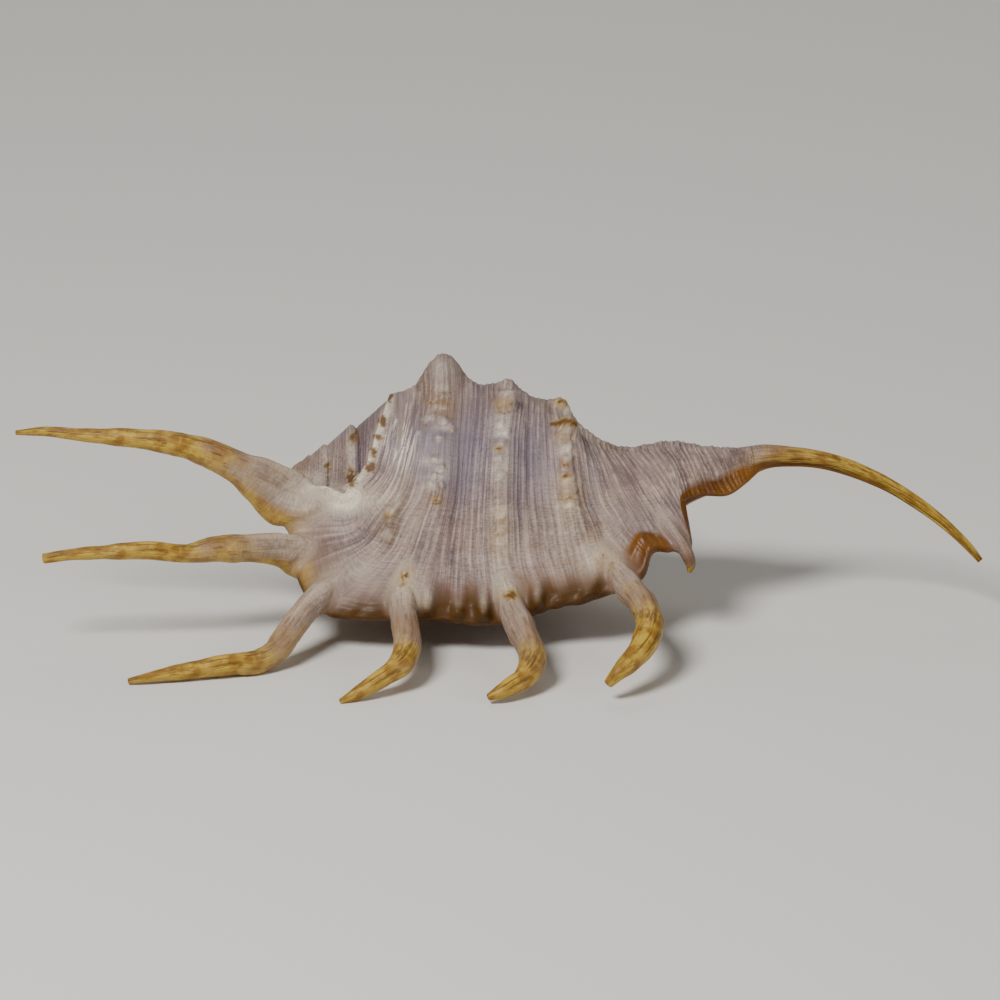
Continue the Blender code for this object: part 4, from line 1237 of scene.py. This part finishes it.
def shellSkin():
    material = bpy.data.materials.new("shellSkin")
    material.use_nodes = True
    material.node_tree.nodes.clear()
    bench = NodeBench(material.node_tree)
    shader = bench.put("ShaderNodeBsdfPrincipled")
    bench.plug(shader.inputs["Base Color"], glazeColour(bench, tipColour(bench, groundColour(bench))))
    bench.plug(shader.inputs["Roughness"], skinRoughness(bench))
    bench.plug(shader.inputs["Normal"], skinBump(bench))
    shader.inputs["Coat Weight"].default_value = looks["coat"]
    shader.inputs["Coat Roughness"].default_value = looks["coatRoughness"]
    shader.inputs["Specular IOR Level"].default_value = looks["specular"]
    bench.plug(bench.put("ShaderNodeOutputMaterial").inputs["Surface"], shader.outputs[0])
    return material


def shellPiece():
    # all forms joined and melted into one skin, on the part's shell
    base = formObject("body", bodyForm(), 0)
    others = [formObject("spire", spireForm(), 1)]
    for number, (name, line) in enumerate(digits.items(), start=2):
        others.append(formObject(name, digitForm(name, line), number))
    for number, lump in enumerate(heels["lumps"], start=heels["firstNumber"]):
        others.append(formObject("heel" + str(number), heelForm(*lump), number))
    print("forms made")
    mesh = joinForms(base, others)
    mesh.name = "spiderConch"
    shift = placeInFrame(mesh, meltSeams(mesh))
    mesh.materials.clear()
    mesh.materials.append(shellSkin())
    mesh.polygons.foreach_set("use_smooth", np.ones(len(mesh.polygons), dtype=bool))
    piece = bpy.data.objects.new("spiderConch", mesh)
    bpy.context.scene.collection.objects.link(piece)
    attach(piece, "root")
    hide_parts("shell")
    print("shell", len(mesh.vertices), "vertices", len(mesh.polygons), "faces")
    return shift


# The photograph's view: level in azimuth, from a little above
view = {
    "lens": 400.0, "sensor": 36.0,     # mm
    "floorSize": 6.0,                  # m
    "floorTone": (226, 222, 214), "floorRoughness": 0.85,
    "frame": 1000,                     # pixels across the picture
}


def floorPlate():
    half = view["floorSize"] / 2
    corners = [(-half, -half, 0), (half, -half, 0), (half, half, 0), (-half, half, 0)]
    mesh = bpy.data.meshes.new("floor")
    mesh.from_pydata(corners, [], [(0, 1, 2, 3)])
    material = bpy.data.materials.new("floorPaper")
    material.use_nodes = True
    shader = material.node_tree.nodes["Principled BSDF"]
    shader.inputs["Base Color"].default_value = linearColour(view["floorTone"])
    shader.inputs["Roughness"].default_value = view["floorRoughness"]
    mesh.materials.append(material)
    floor = bpy.data.objects.new("floor", mesh)
    bpy.context.scene.collection.objects.link(floor)


def photoCamera(shift):
    # the picture's middle pixel looks along the view direction from far away
    aim = (spot(photo["middle"], photo["middle"], 0.0) + shift) * millimetre
    width = view["frame"] * photo["pixel"] * millimetre
    distance = width * view["lens"] / view["sensor"]
    tilt = photo["elevation"]
    camera = bpy.data.cameras.new("photoCamera")
    camera.lens = view["lens"]
    camera.sensor_width = view["sensor"]
    camera.clip_end = 100.0
    holder = bpy.data.objects.new("photoCamera", camera)
    holder.location = aim + distance * np.array([0.0, -math.cos(tilt), math.sin(tilt)])
    holder.rotation_euler = (math.pi / 2 - tilt, 0.0, 0.0)
    bpy.context.scene.collection.objects.link(holder)
    bpy.context.scene.camera = holder


lights = {
    # place in m, size in m, power in W
    "key": ((-0.28, -0.36, 0.58), 0.26, 5.6),
    "fill": ((0.62, -0.36, 0.30), 0.60, 1.6),
    "rear": ((0.05, 0.55, 0.55), 0.50, 0.9),
}
lampAim = (0.0, 0.0, 0.02)             # m
worldGlow = {"colour": (214, 216, 220), "strength": 0.17}


def studioLights():
    # soft round lamps turned towards the shell, and a faint even glow
    for name, (place, size, power) in lights.items():
        lamp = bpy.data.lights.new(name, "AREA")
        lamp.shape = "DISK"
        lamp.size = size
        lamp.energy = power
        holder = bpy.data.objects.new(name, lamp)
        holder.location = place
        away = np.array(place) - np.array(lampAim)
        holder.rotation_euler = (math.acos(away[2] / np.linalg.norm(away)), 0.0,
                                 math.atan2(away[1], away[0]) + math.pi / 2)
        bpy.context.scene.collection.objects.link(holder)
    world = bpy.data.worlds.new("studio")
    bpy.context.scene.world = world
    world.use_nodes = True
    background = world.node_tree.nodes["Background"]
    background.inputs["Color"].default_value = linearColour(worldGlow["colour"])
    background.inputs["Strength"].default_value = worldGlow["strength"]


shift = shellPiece()
floorPlate()
photoCamera(shift)
studioLights()
print("scene ready")
